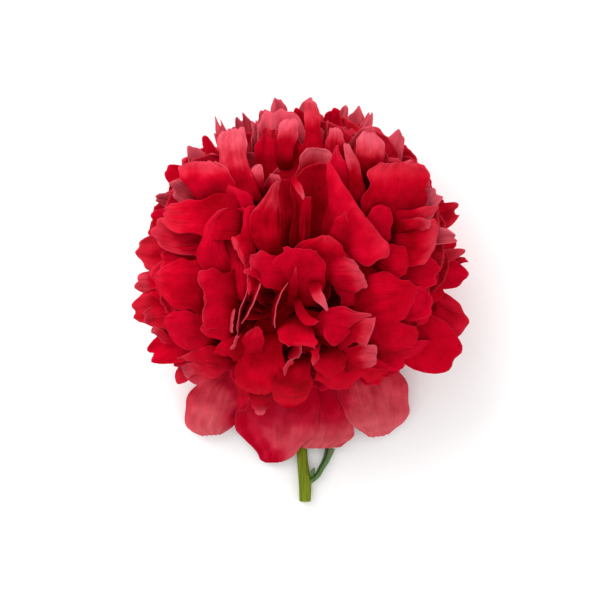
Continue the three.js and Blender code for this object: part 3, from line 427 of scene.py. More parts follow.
        (50.5, -11.5, 49, -21, -2, -4, -1, 0),
        (53, -14.5, 52.5, -17.5, -1, -2, -1, 0),
    ]),
    "right_under": (0.1, [
        (32, -19.5, 34.5, -27, 5, 4, 6, 0),
        (42, -20, 42.5, -27, 1, 0, 3, 0),
        (52.5, -18, 51.5, -26.5, 0, -1, 2, 0),
        (59, -18.5, 57.5, -23, 0, 0, 1, 0),
    ]),
    "right_ridge": (0.15, [
        (27.5, 28.5, 37, 24, 5, 4, 5, 0),
        (29, 37.5, 41, 30.5, 0, -2, 1, 0),
        (33.5, 41.5, 40.5, 37.5, -2, -3, -1, 0),
        (37, 42, 39, 41, -2, -2, -2, 0),
    ]),
    # top
    "top_left_big": (1, [
        (-33, 44.5, -17, 44.5, 5, 3, 5, 0),
        (-35.5, 55.5, -20.5, 54.5, -1, -5, -1, 0),
        (-37, 66.5, -23, 66, -4, -7, -3, 0),
        (-36.5, 73, -24, 72, -5, -5, -4, 0),
        (-33.5, 76, -25.5, 77.5, -5, -3, -4, 0),
    ]),
    "top_left_wide": (0.55, [
        (-46, 42.5, -26.5, 44.5, 5, 3, 5, 0),
        (-51.5, 52.5, -29, 51.5, -2, -5, -1, 0),
        (-52.5, 58.5, -33, 58, -4, -5, -3, 0),
        (-48.5, 61.5, -37, 61.5, -4, -4, -3, 0),
    ]),
    "left_shoulder": (0.35, [
        (-26.5, 27, -27.5, 44.5, 4, 0, 2, 0),
        (-37.5, 27, -36.5, 46.5, -1, -5, -2, 0),
        (-48.5, 28.5, -46, 45, -3, -6, -4, 0),
        (-56.5, 31, -54, 43, -4, -5, -4, 0),
        (-61.5, 35.5, -59.5, 41.5, -4, -4, -4, 0),
    ]),
    "top_bright": (0.3, [
        (-26.5, 33.5, -17, 35, 8, 7, 8, 0),
        (-32, 42.5, -19.5, 42.5, 3, 1, 4, 0),
        (-34, 48, -22, 48, 0, -2, 2, 0),
        (-33, 51, -26.5, 51.5, -1, -2, 0, 0),
    ]),
    "cup_band": (0.25, [
        (-33, 4.5, -24.5, 7, 6, 5, 12, 0),
        (-42, 12.5, -28.5, 14.5, 0, -3, 8, 0),
        (-46, 21.5, -31.5, 20, -3, -5, 5, 0),
        (-43, 29.5, -32.5, 27.5, -4, -5, 4, 0),
        (-40, 35.5, -32, 34.5, -4, -5, 3, 0),
        (-33.5, 41.5, -29.5, 40, -3, -3, 2, 0),
    ]),
    "cup_inside": (0.05, [
        (-33, 14.5, -24, 17, 11, 13, 12, 0),
        (-34.5, 24, -25, 27.5, 8, 11, 9, 0),
        (-34.5, 34, -23.5, 36, 3, 8, 5, 0),
        (-32, 41, -24, 41, 0, 1, 0, 0),
    ]),
    "cup_wall": (0.15, [
        (-27.5, 17, -19.5, 17, 6, 2, 6, 0),
        (-26.5, 27, -19.5, 27, 2, -3, 3, 0),
        (-25.5, 35, -19.5, 35, 0, -3, 2, 0),
        (-24, 41, -20.5, 42, 0, -1, 0, 0),
    ]),
    "cup_lobe": (0.45, [
        (-34.5, 8, -38, 2, 5, 4, 6, 0),
        (-41, 12, -42.5, 4, 1, -2, 2, 0),
        (-44, 13.5, -44.5, 6, 0, -2, 1, 0),
        (-45.5, 11.5, -45.5, 8.5, 0, 0, 1, 0),
    ]),
    "top_deep": (0.35, [
        (-17, 49, 0, 49, 10, 13, 10, 0),
        (-19.5, 60, 1.5, 60, 8, 12, 8, 0),
        (-19.5, 68.5, 1.5, 67.5, 4, 8, 5, 0),
        (-18.5, 74, 0, 72.5, 1, 4, 2, 0),
        (-16, 77, -2.5, 75.5, -1, 1, 0, 0),
    ]),
    "top_tall": (0.8, [
        (0, 60, 10.5, 60, 8, 7, 8, 0),
        (1.5, 71, 10, 71, 2, 0, 2, 0),
        (2, 81, 9, 81, -1, -3, -1, 0),
        (2.5, 87.5, 7.5, 87, -2, -3, -2, 0),
        (3.5, 89.5, 6, 89.5, -2, -3, -2, 0),
    ]),
    "top_front_tip": (0.9, [
        (-10.5, 62, -3.5, 62, 5, 4, 5, 0),
        (-10, 70, -1.5, 70, 1, -1, 1, 0),
        (-9, 76.5, -1, 77, -2, -4, -2, 0),
        (-7, 80.5, -2, 80.5, -3, -4, -3, 0),
    ]),
    "top_lozenge": (1, [
        (-20.5, 46.5, -15, 47, 6, 5, 6, 0),
        (-21.5, 54.5, -16, 53.5, 0, -2, 0, 0),
        (-21, 58, -16.5, 57.5, -2, -3, -2, 0),
        (-19, 60, -17, 60, -3, -3, -3, 0),
    ]),
    "top_dim_tip": (0.9, [
        (-15, 48, -7, 48, 9, 8, 9, 0),
        (-14, 53.5, -8, 52.5, 6, 5, 6, 0),
        (-13, 56, -9.5, 55.5, 5, 5, 5, 0),
    ]),
    "top_small": (0.8, [
        (11, 60, 21, 60, 8, 5, 8, 0),
        (11.5, 69, 20, 67.5, 0, -3, 0, 0),
        (12.5, 74, 19.5, 73, -3, -5, -3, 0),
        (13.5, 76.5, 17.5, 76.5, -4, -5, -4, 0),
    ]),
    "top_left_point": (0.4, [
        (15, 38, 23, 38, 6, 4, 6, 0),
        (14, 51, 23, 51, 0, -3, 0, 0),
        (13.5, 60, 20.5, 59.5, -4, -6, -4, 0),
        (15, 65.5, 17.5, 65, -6, -6, -6, 0),
        (16, 68.5, 17, 68.5, -7, -7, -7, 0),
    ]),
    "top_right_point": (0.9, [
        (21.5, 42.5, 29, 42.5, 4, 2, 4, 0),
        (21.5, 51, 28.5, 50.5, -2, -5, -2, 0),
        (20.5, 60, 26.5, 59.5, -5, -7, -5, 0),
        (19.5, 66, 23.5, 65.5, -7, -8, -7, 0),
        (19.5, 69.5, 21.5, 69, -8, -8, -8, 0),
    ]),
    "top_right_round": (0.85, [
        (25, 54.5, 37, 56, 5, 3, 5, 0),
        (25, 63, 37, 63, -2, -5, -1, 0),
        (25.5, 70, 37, 69, -4, -6, -3, 0),
        (27, 75, 34, 74, -5, -5, -4, 0),
    ]),
    # left
    "left_big": (0.3, [
        (-41.5, -8, -41.5, 17, 4, 0, 3, 0),
        (-48.5, -6, -48.5, 19.5, -1, -5, -1, 0),
        (-56.5, -2.5, -55, 17, -4, -6, -3, 0),
        (-62, 3.5, -61, 14, -4, -5, -4, 0),
        (-65.5, 10, -65, 11.5, -4, -4, -4, 0),
    ]),
    "left_two_points": (0.3, [
        (-29, -11, -29, 13.5, 6, 2, 6, 0),
        (-36, -11.5, -37, 13.5, 0, -4, 1, 0),
        (-41.5, -11.5, -43, 12, -4, -7, -3, 0),
        (-44.5, -6, -46.5, 8, -5, -5, -5, -4),
    ]),
    "left_smooth": (0.2, [
        (-38, -22, -39, -5, 4, 2, 5, 0),
        (-46.5, -23, -47, -5, -1, -5, 0, 0),
        (-54, -19.5, -53, -5, -3, -6, -2, 0),
        (-58.5, -14.5, -57.5, -6, -4, -5, -3, 0),
        (-61, -9.5, -60, -7, -4, -4, -4, 0),
    ]),
    "left_round": (0.3, [
        (-28.5, -16.5, -29, -9.5, 5, 3, 5, 0),
        (-35.5, -18, -36.5, -10, -1, -4, 0, 0),
        (-41, -16, -41, -10.5, -3, -5, -2, 0),
        (-44.5, -13, -44, -11.5, -3, -3, -3, 0),
    ]),
    "left_pale_fold": (0.8, [
        (-55, -19.5, -56.5, -15.5, 3, 2, 3, 0),
        (-61, -19, -62, -13.5, -2, -3, -2, 0),
        (-64.5, -16, -65.5, -12, -3, -3, -3, 0),
        (-67, -15, -67, -13, -3, -3, -3, 0),
    ]),
    "left_low_pale": (0.75, [
        (-28.5, -27, -34.5, -23, 9, 6, 7, 0),
        (-34.5, -32.5, -41.5, -25.5, 4, 1, 3, 0),
        (-41, -36.5, -48.5, -27, 4, 1, 3, 0),
        (-46.5, -38, -53, -27.5, 5, 3, 3, 0),
        (-51.5, -35.5, -54.5, -28.5, 5, 4, 3, 0),
    ]),
    "left_line": (0.4, [
        (-33, -26.5, -34.5, -19.5, 4, 3, 4, 0),
        (-41, -27, -41.5, -20.5, 1, -1, 0, 0),
        (-48.5, -27.5, -49.5, -23.5, 0, -1, 0, 0),
        (-56.5, -27, -56.5, -26.5, 0, 0, 0, 0),
    ]),
    "low_crimson": (0.3, [
        (-21.5, -27, -28.5, -31.5, 5, 4, 5, 0),
        (-21.5, -37.5, -29, -39, 7, 6, 7, 0),
        (-22.5, -45, -28.5, -46, 11, 10, 11, 0),
        (-25, -50.5, -27.5, -50.5, 14, 14, 14, 0),
    ]),
}


def draws_from(seed):
    """Seeded draws: each call gives the next number of one fixed sequence, between two limits."""
    state = seed
    while True:
        low, high = yield
        state = (state * 1664525 + 1013904223) % 4294967296
        yield low + (high - low) * state / 4294967296


draws = draws_from(20417)


def draw(low, high):
    """The next number of the crown's sequence, between low and high."""
    next(draws)
    return draws.send((low, high))


def petal_middle(petal, u, t):
    """Points of a petal's middle surface in millimetres, u from -1 to 1 across and t along it.

    The petal leaves its root along its heading while its rise turns steadily from rise_root to
    rise_tip. Its width swells to full at three quarters of its length. Its end is rounded, skewed
    and toothed, its section is an arc of half-angle cup, and its outer part is waved.
    """
    v = t * (1 - petal["round"] * np.abs(u) ** 3 + petal["skew"] * u
             + petal["teeth"] * np.cos(petal["waves"] * np.pi * u + petal["phase"])
             + 0.5 * petal["ragged"] * np.sin(petal["frill"] * u + petal["phase"]))
    rise_root = np.radians(petal["rise_root"])
    turn = np.radians(petal["rise_tip"]) - rise_root
    rise = rise_root + turn * v
    forward = petal["length"] * (np.sin(rise) - np.sin(rise_root)) / turn
    upward = petal["length"] * (np.cos(rise_root) - np.cos(rise)) / turn
    swell = np.sin(np.pi / 2 * np.minimum(1, v / 0.75)) ** 1.2
    narrow = 1 - 0.12 * np.maximum(0, (v - 0.75) / 0.25) ** 2
    half = petal["width"] / 2 * (petal["claw"] + (1 - petal["claw"]) * swell) * narrow
    arc = np.radians(petal["cup"])
    side = half * np.sin(arc * u) / arc
    wave = np.sin(petal["waves"] * np.pi * u + petal["phase"])
    lift = (half * (1 - np.cos(arc * u)) / arc
            + petal["ruffle"] * v * v * (0.3 + 0.7 * u * u) * wave
            + petal["curl"] * np.maximum(0, (v - 0.7) / 0.3) ** 2)
    heading = np.radians(petal["heading"])
    twist = np.radians(petal["twist"])
    sideways = side * np.cos(twist) - lift * np.sin(twist)
    outwards = side * np.sin(twist) + lift * np.cos(twist)
    x = (petal["root_x"] + forward * np.cos(heading) + sideways * np.sin(heading)
         - outwards * np.sin(rise) * np.cos(heading))
    y = (petal["root_y"] + forward * np.sin(heading) - sideways * np.cos(heading)
         - outwards * np.sin(rise) * np.sin(heading))
    z = petal["root_z"] + upward + outwards * np.cos(rise)
    return np.stack(np.broadcast_arrays(x, y, z), axis=-1)


def crown_height(x, y):
    """Height of the ball of petals above the table, as half an ellipsoid, in millimetres."""
    across = (x - CROWN_MIDDLE[0]) / CROWN_RADII[0]
    along = (y - CROWN_MIDDLE[1]) / CROWN_RADII[1]
    return CROWN_MIDDLE[2] + CROWN_RADII[2] * np.sqrt(np.maximum(0, 1 - across**2 - along**2))


def station_columns(rows):
    """The x, the y and the depth or height of each station's left side, middle and right side."""
    x_left, y_left, x_right, y_right, *levels, bow = np.array(rows, float).T
    chord = np.hypot(x_right - x_left, y_right - y_left)
    x = np.stack([x_left, (x_left + x_right) / 2 - bow * (y_right - y_left) / chord, x_right])
    y = np.stack([y_left, (y_left + y_right) / 2 + bow * (x_right - x_left) / chord, y_right])
    return x, y, np.array(levels)


def crown_stations(rows):
    """Stations as an array of left, middle and right points, after one deep inside the ball, where
    the petal is narrow and closer to the receptacle."""
    x, y, depths = station_columns(rows)
    flat = (depths[0] + depths[2]) / 2
    depths[1] += FLATTENING * np.maximum(0, flat - depths[1])
    places = np.stack([x, y, crown_height(x, y) - depths]).transpose(2, 1, 0)
    middle = places[0, 1]
    root = middle + ROOT_NARROWING * (places[0] - middle)
    root[:, :2] -= ROOT_PULL * (root[:, :2] - RECEPTACLE[:2])
    root[:, 2] -= ROOT_DEPTH
    return np.concatenate([root[None], places])


def curve_through(stations, share):
    """Catmull-Rom curves through stations, at shares of the way from the first to the last. Each
    point is the weighted sum of the two stations before it and the two after it, with weights
    that are cubic in the fraction f of the way between its neighbours."""
    last = len(stations) - 1
    place = share * last
    first = np.minimum(place.astype(int), last - 1)
    f = (place - first).reshape(place.shape + (1,) * (stations.ndim - 1))
    weights = (-f + 2 * f**2 - f**3, 2 - 5 * f**2 + 3 * f**3, f + 4 * f**2 - 3 * f**3, f**3 - f**2)
    return sum(weight / 2 * stations[np.clip(first + k, 0, last)]
               for k, weight in zip((-1, 0, 1, 2), weights))


def drawn_middle(petal, u, t):
    """Middle surface of a drawn petal: Catmull-Rom curves along its sides and middle, joined by a
    parabola across. Its sides waver, and its end is rounded and ragged."""
    wave = petal["frill"] * u + petal["phase"]
    v = t * (1 - petal["round"] * np.abs(u) ** 3
             - petal["ragged"] * (1 + np.sin(wave) + 0.6 * np.sin(2.3 * wave)))
    u = u * (1 + 0.1 * np.abs(u) * (np.sin(9 * t + petal["phase"])
                                    + 0.6 * np.sin(21 * t + 2 * petal["phase"])))
    lines = curve_through(petal["stations"], np.clip(v, 0, 1))
    left, middle, right = lines[..., 0, :], lines[..., 1, :], lines[..., 2, :]
    u = u[..., None]
    return middle + u * (right - left) / 2 + u * u * (left + right - 2 * middle) / 2


def petal_shape(**given):
    """A petal's numbers: the given ones over those of a plain petal."""
    plain = dict(round=0.2, skew=0, teeth=0, waves=2, phase=0, claw=0.45, cup=40, ruffle=0, curl=0,
                 twist=0, ragged=0, frill=9, pale=0, root_x=0, root_y=0, root_z=0)
    return {**plain, **given}


def rooted_at_tip(petal, tip):
    """The petal with its root placed so that its end, before any wave, lies at the tip."""
    plain = {**petal, "cup": 0.01, "ruffle": 0, "curl": 0, "teeth": 0, "ragged": 0}
    reach = petal_middle(plain, np.array(0.0), np.array(1.0))
    root = dict(zip(("root_x", "root_y", "root_z"), np.array(tip) - reach))
    return {**petal, **root}


def face_petal(row):
    """A petal of the side that faces up, from its row."""
    x, y, depth, heading, width, rise, cup, twist, rounding, skew, teeth, pale = row
    petal = petal_shape(
        heading=heading, width=width, cup=cup, twist=twist, round=END_ROUNDING * rounding,
        skew=skew, teeth=TOOTH_DEPTH * teeth, pale=pale, length=34 + width, rise_tip=rise,
        rise_root=rise + 38, waves=draw(1.6, 3.2), phase=draw(0, 6.28),
        ruffle=draw(0.5, 1.8) * (1 - rise / 100), curl=draw(-1, 1.5))
    return rooted_at_tip(petal, (x, y, crown_height(x, y) - depth))


def ring_petals(row):
    """The petals of one ring of the sides, from its row."""
    height, reach, count, rise_tip, rise_root = row
    petals = []
    for k in range(count):
        heading = 360 * (k + draw(-0.15, 0.15)) / count + height * 5
        out = reach * draw(0.95, 1)
        tip = (CROWN_MIDDLE[0] + CROWN_RADII[0] * out * math.cos(math.radians(heading)),
               CROWN_MIDDLE[1] + CROWN_RADII[1] * out * math.sin(math.radians(heading)),
               height + draw(-3, 3))
        petal = petal_shape(
            heading=heading + draw(-6, 6), width=draw(30, 36), cup=draw(22, 32),
            twist=draw(8, 16), length=40, rise_tip=rise_tip + draw(-8, 8), rise_root=rise_root,
            round=draw(0.22, 0.3), waves=draw(1.6, 3.2), phase=draw(0, 6.28),
            ruffle=draw(0.6, 1.6), curl=draw(-1, 1.5), pale=0.3)
        petals.append(rooted_at_tip(petal, tip))
    return petals


groups = {
    "rim_petals": [face_petal(row) for row in rim_rows],
    "under_petals": [face_petal(row) for row in under_rows],
    "side_petals": [petal for row in ring_rows for petal in ring_petals(row)],
    "filling_petals": [petal for row in filling_rows for petal in ring_petals(row)],
}
finish_draws = np.random.default_rng(7)

# Petals deeper in the ball close the gaps between those above. They spiral out from the eye, and
# lie flatter the further out they are.
EYE = (-2, 2)
INNER_COUNT = 150
INNER_RADII = (70, 63)
GOLDEN_ANGLE = 2.39996
# Inner petals towards the top get pale ends, partly painted sheen, which lightens that side.
PALE_FROM_Y = 45
# Hollows where they lie deeper. Columns: x, y, half width, half length, added depth.
INNER_HOLLOWS = [(6.75, 43, 11, 19, 16), (-2, -4, 24, 19, 9)]
inner = []
for k in range(INNER_COUNT):
    turn = k * GOLDEN_ANGLE
    reach = math.sqrt((k + 0.5) / INNER_COUNT)
    x = EYE[0] + reach * (CROWN_MIDDLE[0] + INNER_RADII[0] * math.cos(turn) - EYE[0])
    y = EYE[1] + reach * (CROWN_MIDDLE[1] + INNER_RADII[1] * math.sin(turn) - EYE[1])
    sunk = max(added if math.hypot((x - place_x) / half_width, (y - place_y) / half_length) < 1
               else 0 for place_x, place_y, half_width, half_length, added in INNER_HOLLOWS)
    petal = petal_shape(
        heading=math.degrees(turn) + finish_draws.uniform(-12, 12),
        width=finish_draws.uniform(20, 28), cup=finish_draws.uniform(30, 45),
        twist=finish_draws.uniform(-15, 15), round=finish_draws.uniform(0.15, 0.3),
        teeth=finish_draws.uniform(0, 0.04), length=38, rise_tip=70 - 90 * reach,
        rise_root=104 - 90 * reach, waves=finish_draws.uniform(1.6, 3.2),
        phase=finish_draws.uniform(0, 6.28), ruffle=finish_draws.uniform(0.5, 1.5),
        pale=0.5 if y > PALE_FROM_Y else 0)
    depth = finish_draws.uniform(7, 15) + 5 * reach + sunk
    inner.append(rooted_at_tip(petal, (x, y, crown_height(x, y) - depth)))
groups["inner_petals"] = inner

groups["drawn_petals"] = [
    dict(stations=crown_stations(rows), round=0.03, pale=pale,
         calm=min(1, np.hypot(rows[1][2] - rows[1][0], rows[1][3] - rows[1][1]) / WIDE_PETAL))
    for pale, rows in drawn_petals.values()]


def add_finish(petals, raggedness=1):
    """Draws the numbers of each petal's small folds and its tone."""
    for petal in petals:
        petal.update(
            tone=finish_draws.uniform(0, 1),
            ragged=raggedness * petal.get("calm", 1) * finish_draws.uniform(0.012, 0.035),
            frill=finish_draws.uniform(4, 9), phase=finish_draws.uniform(0, 6.28),
            crimp=raggedness * finish_draws.uniform(0.2, 0.5),
            crease=finish_draws.uniform(0.4, 1.1), roll=finish_draws.uniform(-0.5, 1.5),
            crease_width=finish_draws.uniform(6, 10), dent=finish_draws.uniform(0.2, 0.5),
            dent_length=finish_draws.uniform(8, 14))


def normals_of(points):
    """Unit normals of surfaces given as grids of points, as petal, row, column and x, y, z."""
    normal = np.cross(np.gradient(points, axis=2), np.gradient(points, axis=1))
    return normal / np.maximum(np.linalg.norm(normal, axis=-1, keepdims=True), 1e-9)


WANDER_LENGTH = 27             # along a petal, over which its creases sway once
FINE_FOLD = 3                  # width of the finest folds


def crinkled(points, value, u, t):
    """The surfaces with small folds along their normals, in millimetres: lengthwise creases that
    wander, dents across, and crimped sides and end. All fade out towards the base, and where the
    petal narrows."""
    steps = np.linalg.norm(np.diff(points, axis=1), axis=-1)
    length = steps.mean(axis=2).sum(axis=1)[:, None, None] * t
    chords = np.linalg.norm(points[:, :, -1] - points[:, :, 0], axis=-1)
    width = chords.max(axis=1)[:, None, None] / 2 * u
    wander = 1.3 * np.sin(2 * np.pi * length / WANDER_LENGTH + 3 * value["phase"])
    crease = np.sin(2 * np.pi * width / value["crease_width"] + wander + value["frill"])
    crease = crease + value["crimp"] * np.sin(
        2 * np.pi * width / FINE_FOLD + 2 * wander + value["phase"])
    dent = np.sin(2 * np.pi * length / value["dent_length"] + 1.5 * u + value["phase"])
    rim = np.maximum(np.abs(u) ** 4, t ** 6)
    crimp = rim * np.sin(2 * value["frill"] * (u + 0.6 * t) + 2 * value["phase"])
    lift = (t * t * (value["crease"] * crease + value["dent"] * dent) + value["crimp"] * crimp
            + value["roll"] * t * np.maximum(np.abs(u) ** 5, t ** 9))
    lift *= np.minimum(1, width.max(axis=(1, 2), keepdims=True) / NARROW_PETAL)
    lift *= (chords / chords.max(axis=1, keepdims=True))[:, :, None]
    normal = normals_of(points)
    return points + normal * (lift * (0.1 + 0.9 * np.abs(normal[..., 2])))[..., None]


def hollow_share(x, y):
    """How strong the painted shade of the depths is: 1 in the middle of the eye, less in the
    channel above it and in the cup left of that, and SHADE_OUTSIDE away from them."""
    share = 0
    for place_x, place_y, half_width, half_length, darkness in HOLLOWS:
        out = ((x - place_x) / half_width) ** 2 + ((y - place_y) / half_length) ** 2
        share = np.maximum(share, darkness * np.exp(-out**2))
    return SHADE_OUTSIDE + (1 - SHADE_OUTSIDE) * share


def crown_shade(middle):
    """The painted shade of the points of the crown: darker with their depth in the ball of petals.
    """
    inside = 1 - np.linalg.norm((middle - CROWN_MIDDLE) / CROWN_RADII, axis=-1)
    return inside / DARK_SHARE * hollow_share(middle[..., 0], middle[..., 1])


def smooth_piece(name, points, faces):
    """A smooth-shaded piece of these points in metres and these faces."""
    mesh = bpy.data.meshes.new(name)
    mesh.from_pydata(points, [], faces)
    mesh.shade_smooth()
    piece = bpy.data.objects.new(name, mesh)
    bpy.context.collection.objects.link(piece)
    return piece


def give_nature(piece, nature):
    """Puts the numbers that the piece's material reads at each point into its attribute."""
    attribute = piece.data.attributes.new("nature", "FLOAT_COLOR", "POINT")
    attribute.data.foreach_set("color", nature.ravel())


def blade_mesh(name, petals, across, along, thickness, shade=None):
    """One mesh of many petals. Each is an upper and a lower grid, half the thickness to either
    side of the middle surface along its normal, thinner towards the rim, and joined by a rim.
    The columns stand closer towards the sides. The mesh carries (u, t) as its UV map, and as an
    attribute each petal's tone and paleness and a number for each point: the painted shade of the
    crown's depths, and the crimson flushes of the guards."""
    value = {key: np.array([petal[key] for petal in petals], float)[:, None, None]
             for key in petals[0] if key != "stations"}
    u = np.sin(np.linspace(-1, 1, across + 1) * 0.4 * np.pi) / math.sin(0.4 * np.pi)
    u, t = np.meshgrid(u, np.linspace(0, 1, along + 1))
    if "stations" in petals[0]:
        middle = np.stack([drawn_middle(petal, u, t) for petal in petals])
    else:
        middle = petal_middle(value, u[None], t[None])
    middle = crinkled(middle, value, u, t)
    shaded = shade(middle) if shade else np.zeros(middle.shape[:3])
    rim = np.maximum(np.abs(u) ** 6, t ** 10)
    half = normals_of(middle) * (thickness / 2 * (1 - 0.6 * rim))[None, :, :, None]
    upper = middle + half
    lower = middle - half
    upper[..., 2] = np.maximum(upper[..., 2], thickness)
    lower[..., 2] = np.maximum(lower[..., 2], 0)
    count = len(petals)
    cells = (across + 1) * (along + 1)
    points = np.stack([upper, lower], axis=1).reshape(-1, 3) / 1000
    j, i = np.mgrid[0:along, 0:across]
    first = (j * (across + 1) + i).ravel()
    faces_up = np.stack([first, first + 1, first + across + 2, first + across + 1], axis=1)
    faces_down = faces_up[:, ::-1] + cells
    loop = np.concatenate([
        np.arange(across), np.arange(along) * (across + 1) + across,
        along * (across + 1) + np.arange(across, 0, -1),
        np.arange(along, 0, -1) * (across + 1)])
    after = np.roll(loop, -1)
    faces_rim = np.stack([after, loop, loop + cells, after + cells], axis=1)
    faces = np.concatenate([faces_up, faces_down, faces_rim])
    every = (faces[None] + (np.arange(count) * 2 * cells)[:, None, None]).reshape(-1, 4)
    piece = smooth_piece(name, points, every)
    uv = np.tile(np.stack([(u + 1) / 2, t], axis=-1).reshape(-1, 2), (2 * count, 1))
    layer = piece.data.uv_layers.new(name="petal_uv")
    layer.data.foreach_set("uv", uv[every.ravel()].astype(np.float32).ravel())
    nature = np.zeros((count, 2 * cells, 4), np.float32)
    nature[:, :, 0] = value["tone"][:, 0]
    nature[:, :, 1] = value["pale"][:, 0]
    nature[:, :, 2] = np.tile(np.clip(shaded, 0, 1).reshape(count, cells), (1, 2))
    nature[:, :, 3] = 1
    give_nature(piece, nature)
    return piece


class Wire:
    """A socket of a material's tree. Arithmetic on wires adds the Math nodes that work it out."""

    def __init__(self, socket):
        self.socket = socket

    def math(self, operation, first, second):
        return self.node("Math", {"operation": operation}, {0: first, 1: second})

    def __add__(self, other): return self.math("ADD", self, other)
    def __radd__(self, other): return self.math("ADD", other, self)
    def __sub__(self, other): return self.math("SUBTRACT", self, other)
    def __rsub__(self, other): return self.math("SUBTRACT", other, self)
    def __mul__(self, other): return self.math("MULTIPLY", self, other)
    def __rmul__(self, other): return self.math("MULTIPLY", other, self)

    def node(self, kind, settings=None, values=None, out=0):
        return add_node(self.socket.id_data, kind, settings, values, out)

    def beside(self, out):
        """Another output of this wire's node."""
        return Wire(self.socket.node.outputs[out])

    def mixed(self, first, second):
        """The two colours mixed by this wire."""
        return self.node("Mix", {"data_type": "RGBA"}, {0: self, 6: first, 7: second}, 2)

    def stepped(self, low, high):
        """0 below low, 1 above high, and a smooth step between."""
        return self.node("MapRange", {"interpolation_type": "SMOOTHSTEP"},
                         {0: self, 1: low, 2: high, 3: 0.0, 4: 1.0})


def add_node(tree, kind, settings=None, values=None, out=0):
    """A shader node with its settings, then its inputs by number or name; gives one output."""
    node = tree.nodes.new("ShaderNode" + kind)
    for key, value in (settings or {}).items():
        setattr(node, key, value)
    for key, value in (values or {}).items():
        socket = node.inputs[key]
        if isinstance(value, Wire):
            tree.links.new(value.socket, socket)
        else:
            socket.default_value = value
    return Wire(node.outputs[out])


def new_material(name):
    """An empty material and its tree."""
    material = bpy.data.materials.new(name)
    material.use_nodes = True
    material.node_tree.nodes.clear()
    return material, material.node_tree


def finish_surface(tree, **inputs):
    """The Principled shader with these inputs, wired to the material's output."""
    values = {key.replace("_", " "): value for key, value in inputs.items()}
    shader = add_node(tree, "BsdfPrincipled", None, values)
    output = tree.nodes.new("ShaderNodeOutputMaterial")
    tree.links.new(shader.socket, output.inputs["Surface"])


def petal_material(name, deep, body, bright, pale, shaded, pale_start, streaks):
    """Petal skin: deep at the base, body colour and bright towards the end, which is partly the
    petal's own colour and partly painted shade and light; a painted shade where it lies deep in
    the bloom; pale on the end of petals that have it, partly their own paler colour and partly
    painted sheen, broken into lengthwise streaks; a thin pale rim, which is a painted highlight;
    fine lengthwise veins."""
    material, tree = new_material(name)
    place = add_node(tree, "UVMap", {"uv_map": "petal_uv"})
    across = add_node(tree, "SeparateXYZ", None, {0: place})
    along = across.beside(1)
    nature = add_node(tree, "Attribute", {"attribute_name": "nature"})
    tone = add_node(tree, "SeparateColor", None, {0: nature})
    paleness = tone.beside(1)
    spot = add_node(tree, "TexCoord", None, None, 3)
    cloud = add_node(tree, "TexNoise", None, {"Vector": spot, "Scale": 110.0, "Detail": 6.0})
    stretched = add_node(tree, "CombineXYZ", None, {0: across * 14, 1: along * 2.0, 2: tone * 40})
    streak = add_node(tree, "TexNoise", None, {"Vector": stretched, "Scale": 1.0, "Detail": 5.0})
    fine = add_node(tree, "CombineXYZ", None, {0: across * 80, 1: along * 6, 2: tone * 40})
    vein = add_node(tree, "TexNoise", None, {"Vector": fine, "Scale": 1.0, "Detail": 2.0})
    middle = across * 2 - 1
    from_middle = middle.node("Math", {"operation": "ABSOLUTE"}, {0: middle})
    # Deep at the base and bright towards the end: partly the petal's own colour, partly painted
    # shade and light.
    base = (along + 0.5 * (cloud - 0.5)).stepped(0.2, 0.85).mixed(deep, body)
    base = (along * (0.3 + 0.4 * tone) + 0.7 * (cloud - 0.5)).mixed(base, bright)
    # Painted shade where the point lies deep in the bloom.
    shade = tone.beside(2) + (streak - 0.5) * tone.beside(2).stepped(0.0, 0.3)
    base = shade.stepped(0.05, 1.0).mixed(base, shaded)
    # Pale ends: partly the petal's own paler colour, partly painted sheen.
    reach = along - tone.beside(2) + streaks * (streak - 0.5) + 0.5 * (cloud - 0.5)
    pale_and_sheen_end = (reach + 0.35 * paleness).stepped(pale_start + 0.35, 1.3) * paleness.stepped(0.1, 0.9)
    base = pale_and_sheen_end.mixed(base, pale)
    # A thin pale rim: a painted highlight.
    rim = from_middle.stepped(0.96, 1.0) * along.stepped(0.3, 0.8)
    tip = along.stepped(0.975, 1.0)
    rim_highlight = rim.node("Math", {"operation": "MAXIMUM"}, {0: rim, 1: tip}) * (0.05 + 0.35 * paleness)
    base = rim_highlight.mixed(base, pale)
    mottle = (vein - 0.5) * 0.3 + (cloud - 0.5) * 0.5
    base = base.node("HueSaturation", None, {
        "Hue": 0.5, "Saturation": 1.0, "Value": 1.0 + mottle, "Fac": 1.0, "Color": base})
    bump = add_node(tree, "Bump", None, {
        "Strength": 0.6, "Distance": 0.0012, "Height": vein * 0.2 + streak + cloud * 0.6})
    finish_surface(tree, Base_Color=base, Roughness=0.75 + 0.12 * (cloud - 0.5), Normal=bump,
                   Specular_IOR_Level=0.01, Sheen_Weight=0.02, Sheen_Roughness=0.4,
                   Sheen_Tint=(1.0, 0.15, 0.25, 1.0))
    return material


# Deep, bright and pale hold painted shade, light and sheen besides the petals' own colour; shaded
# is a painted shade.
crown_skin = petal_material(
    "crown_petal_skin", deep=(0.22, 0.0, 0.002, 1), body=(0.5, 0.0002, 0.008, 1),
    bright=(0.57, 0.001, 0.026, 1), pale=(0.65, 0.085, 0.125, 1), shaded=(0.28, 0, 0.003, 1),
    pale_start=0.4, streaks=0.2)
for name, petals in groups.items():
    add_finish(petals)
    piece = blade_mesh(name, petals, 24, 36, PETAL_THICKNESS, crown_shade)
    piece.data.materials.append(crown_skin)
    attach(piece, "root")
    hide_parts("bloom")

# ---------------------------------------------------------------- packed petal bases
# Inside the ball the petal bases are packed so tightly that they read as one body, seen only
# at the bottom of the gaps between petals. Its dark red is the petals' crimson with painted
# shade.
CORE_MIDDLE = (0, 20, 42)
CORE_RADII = (52, 47, 22)


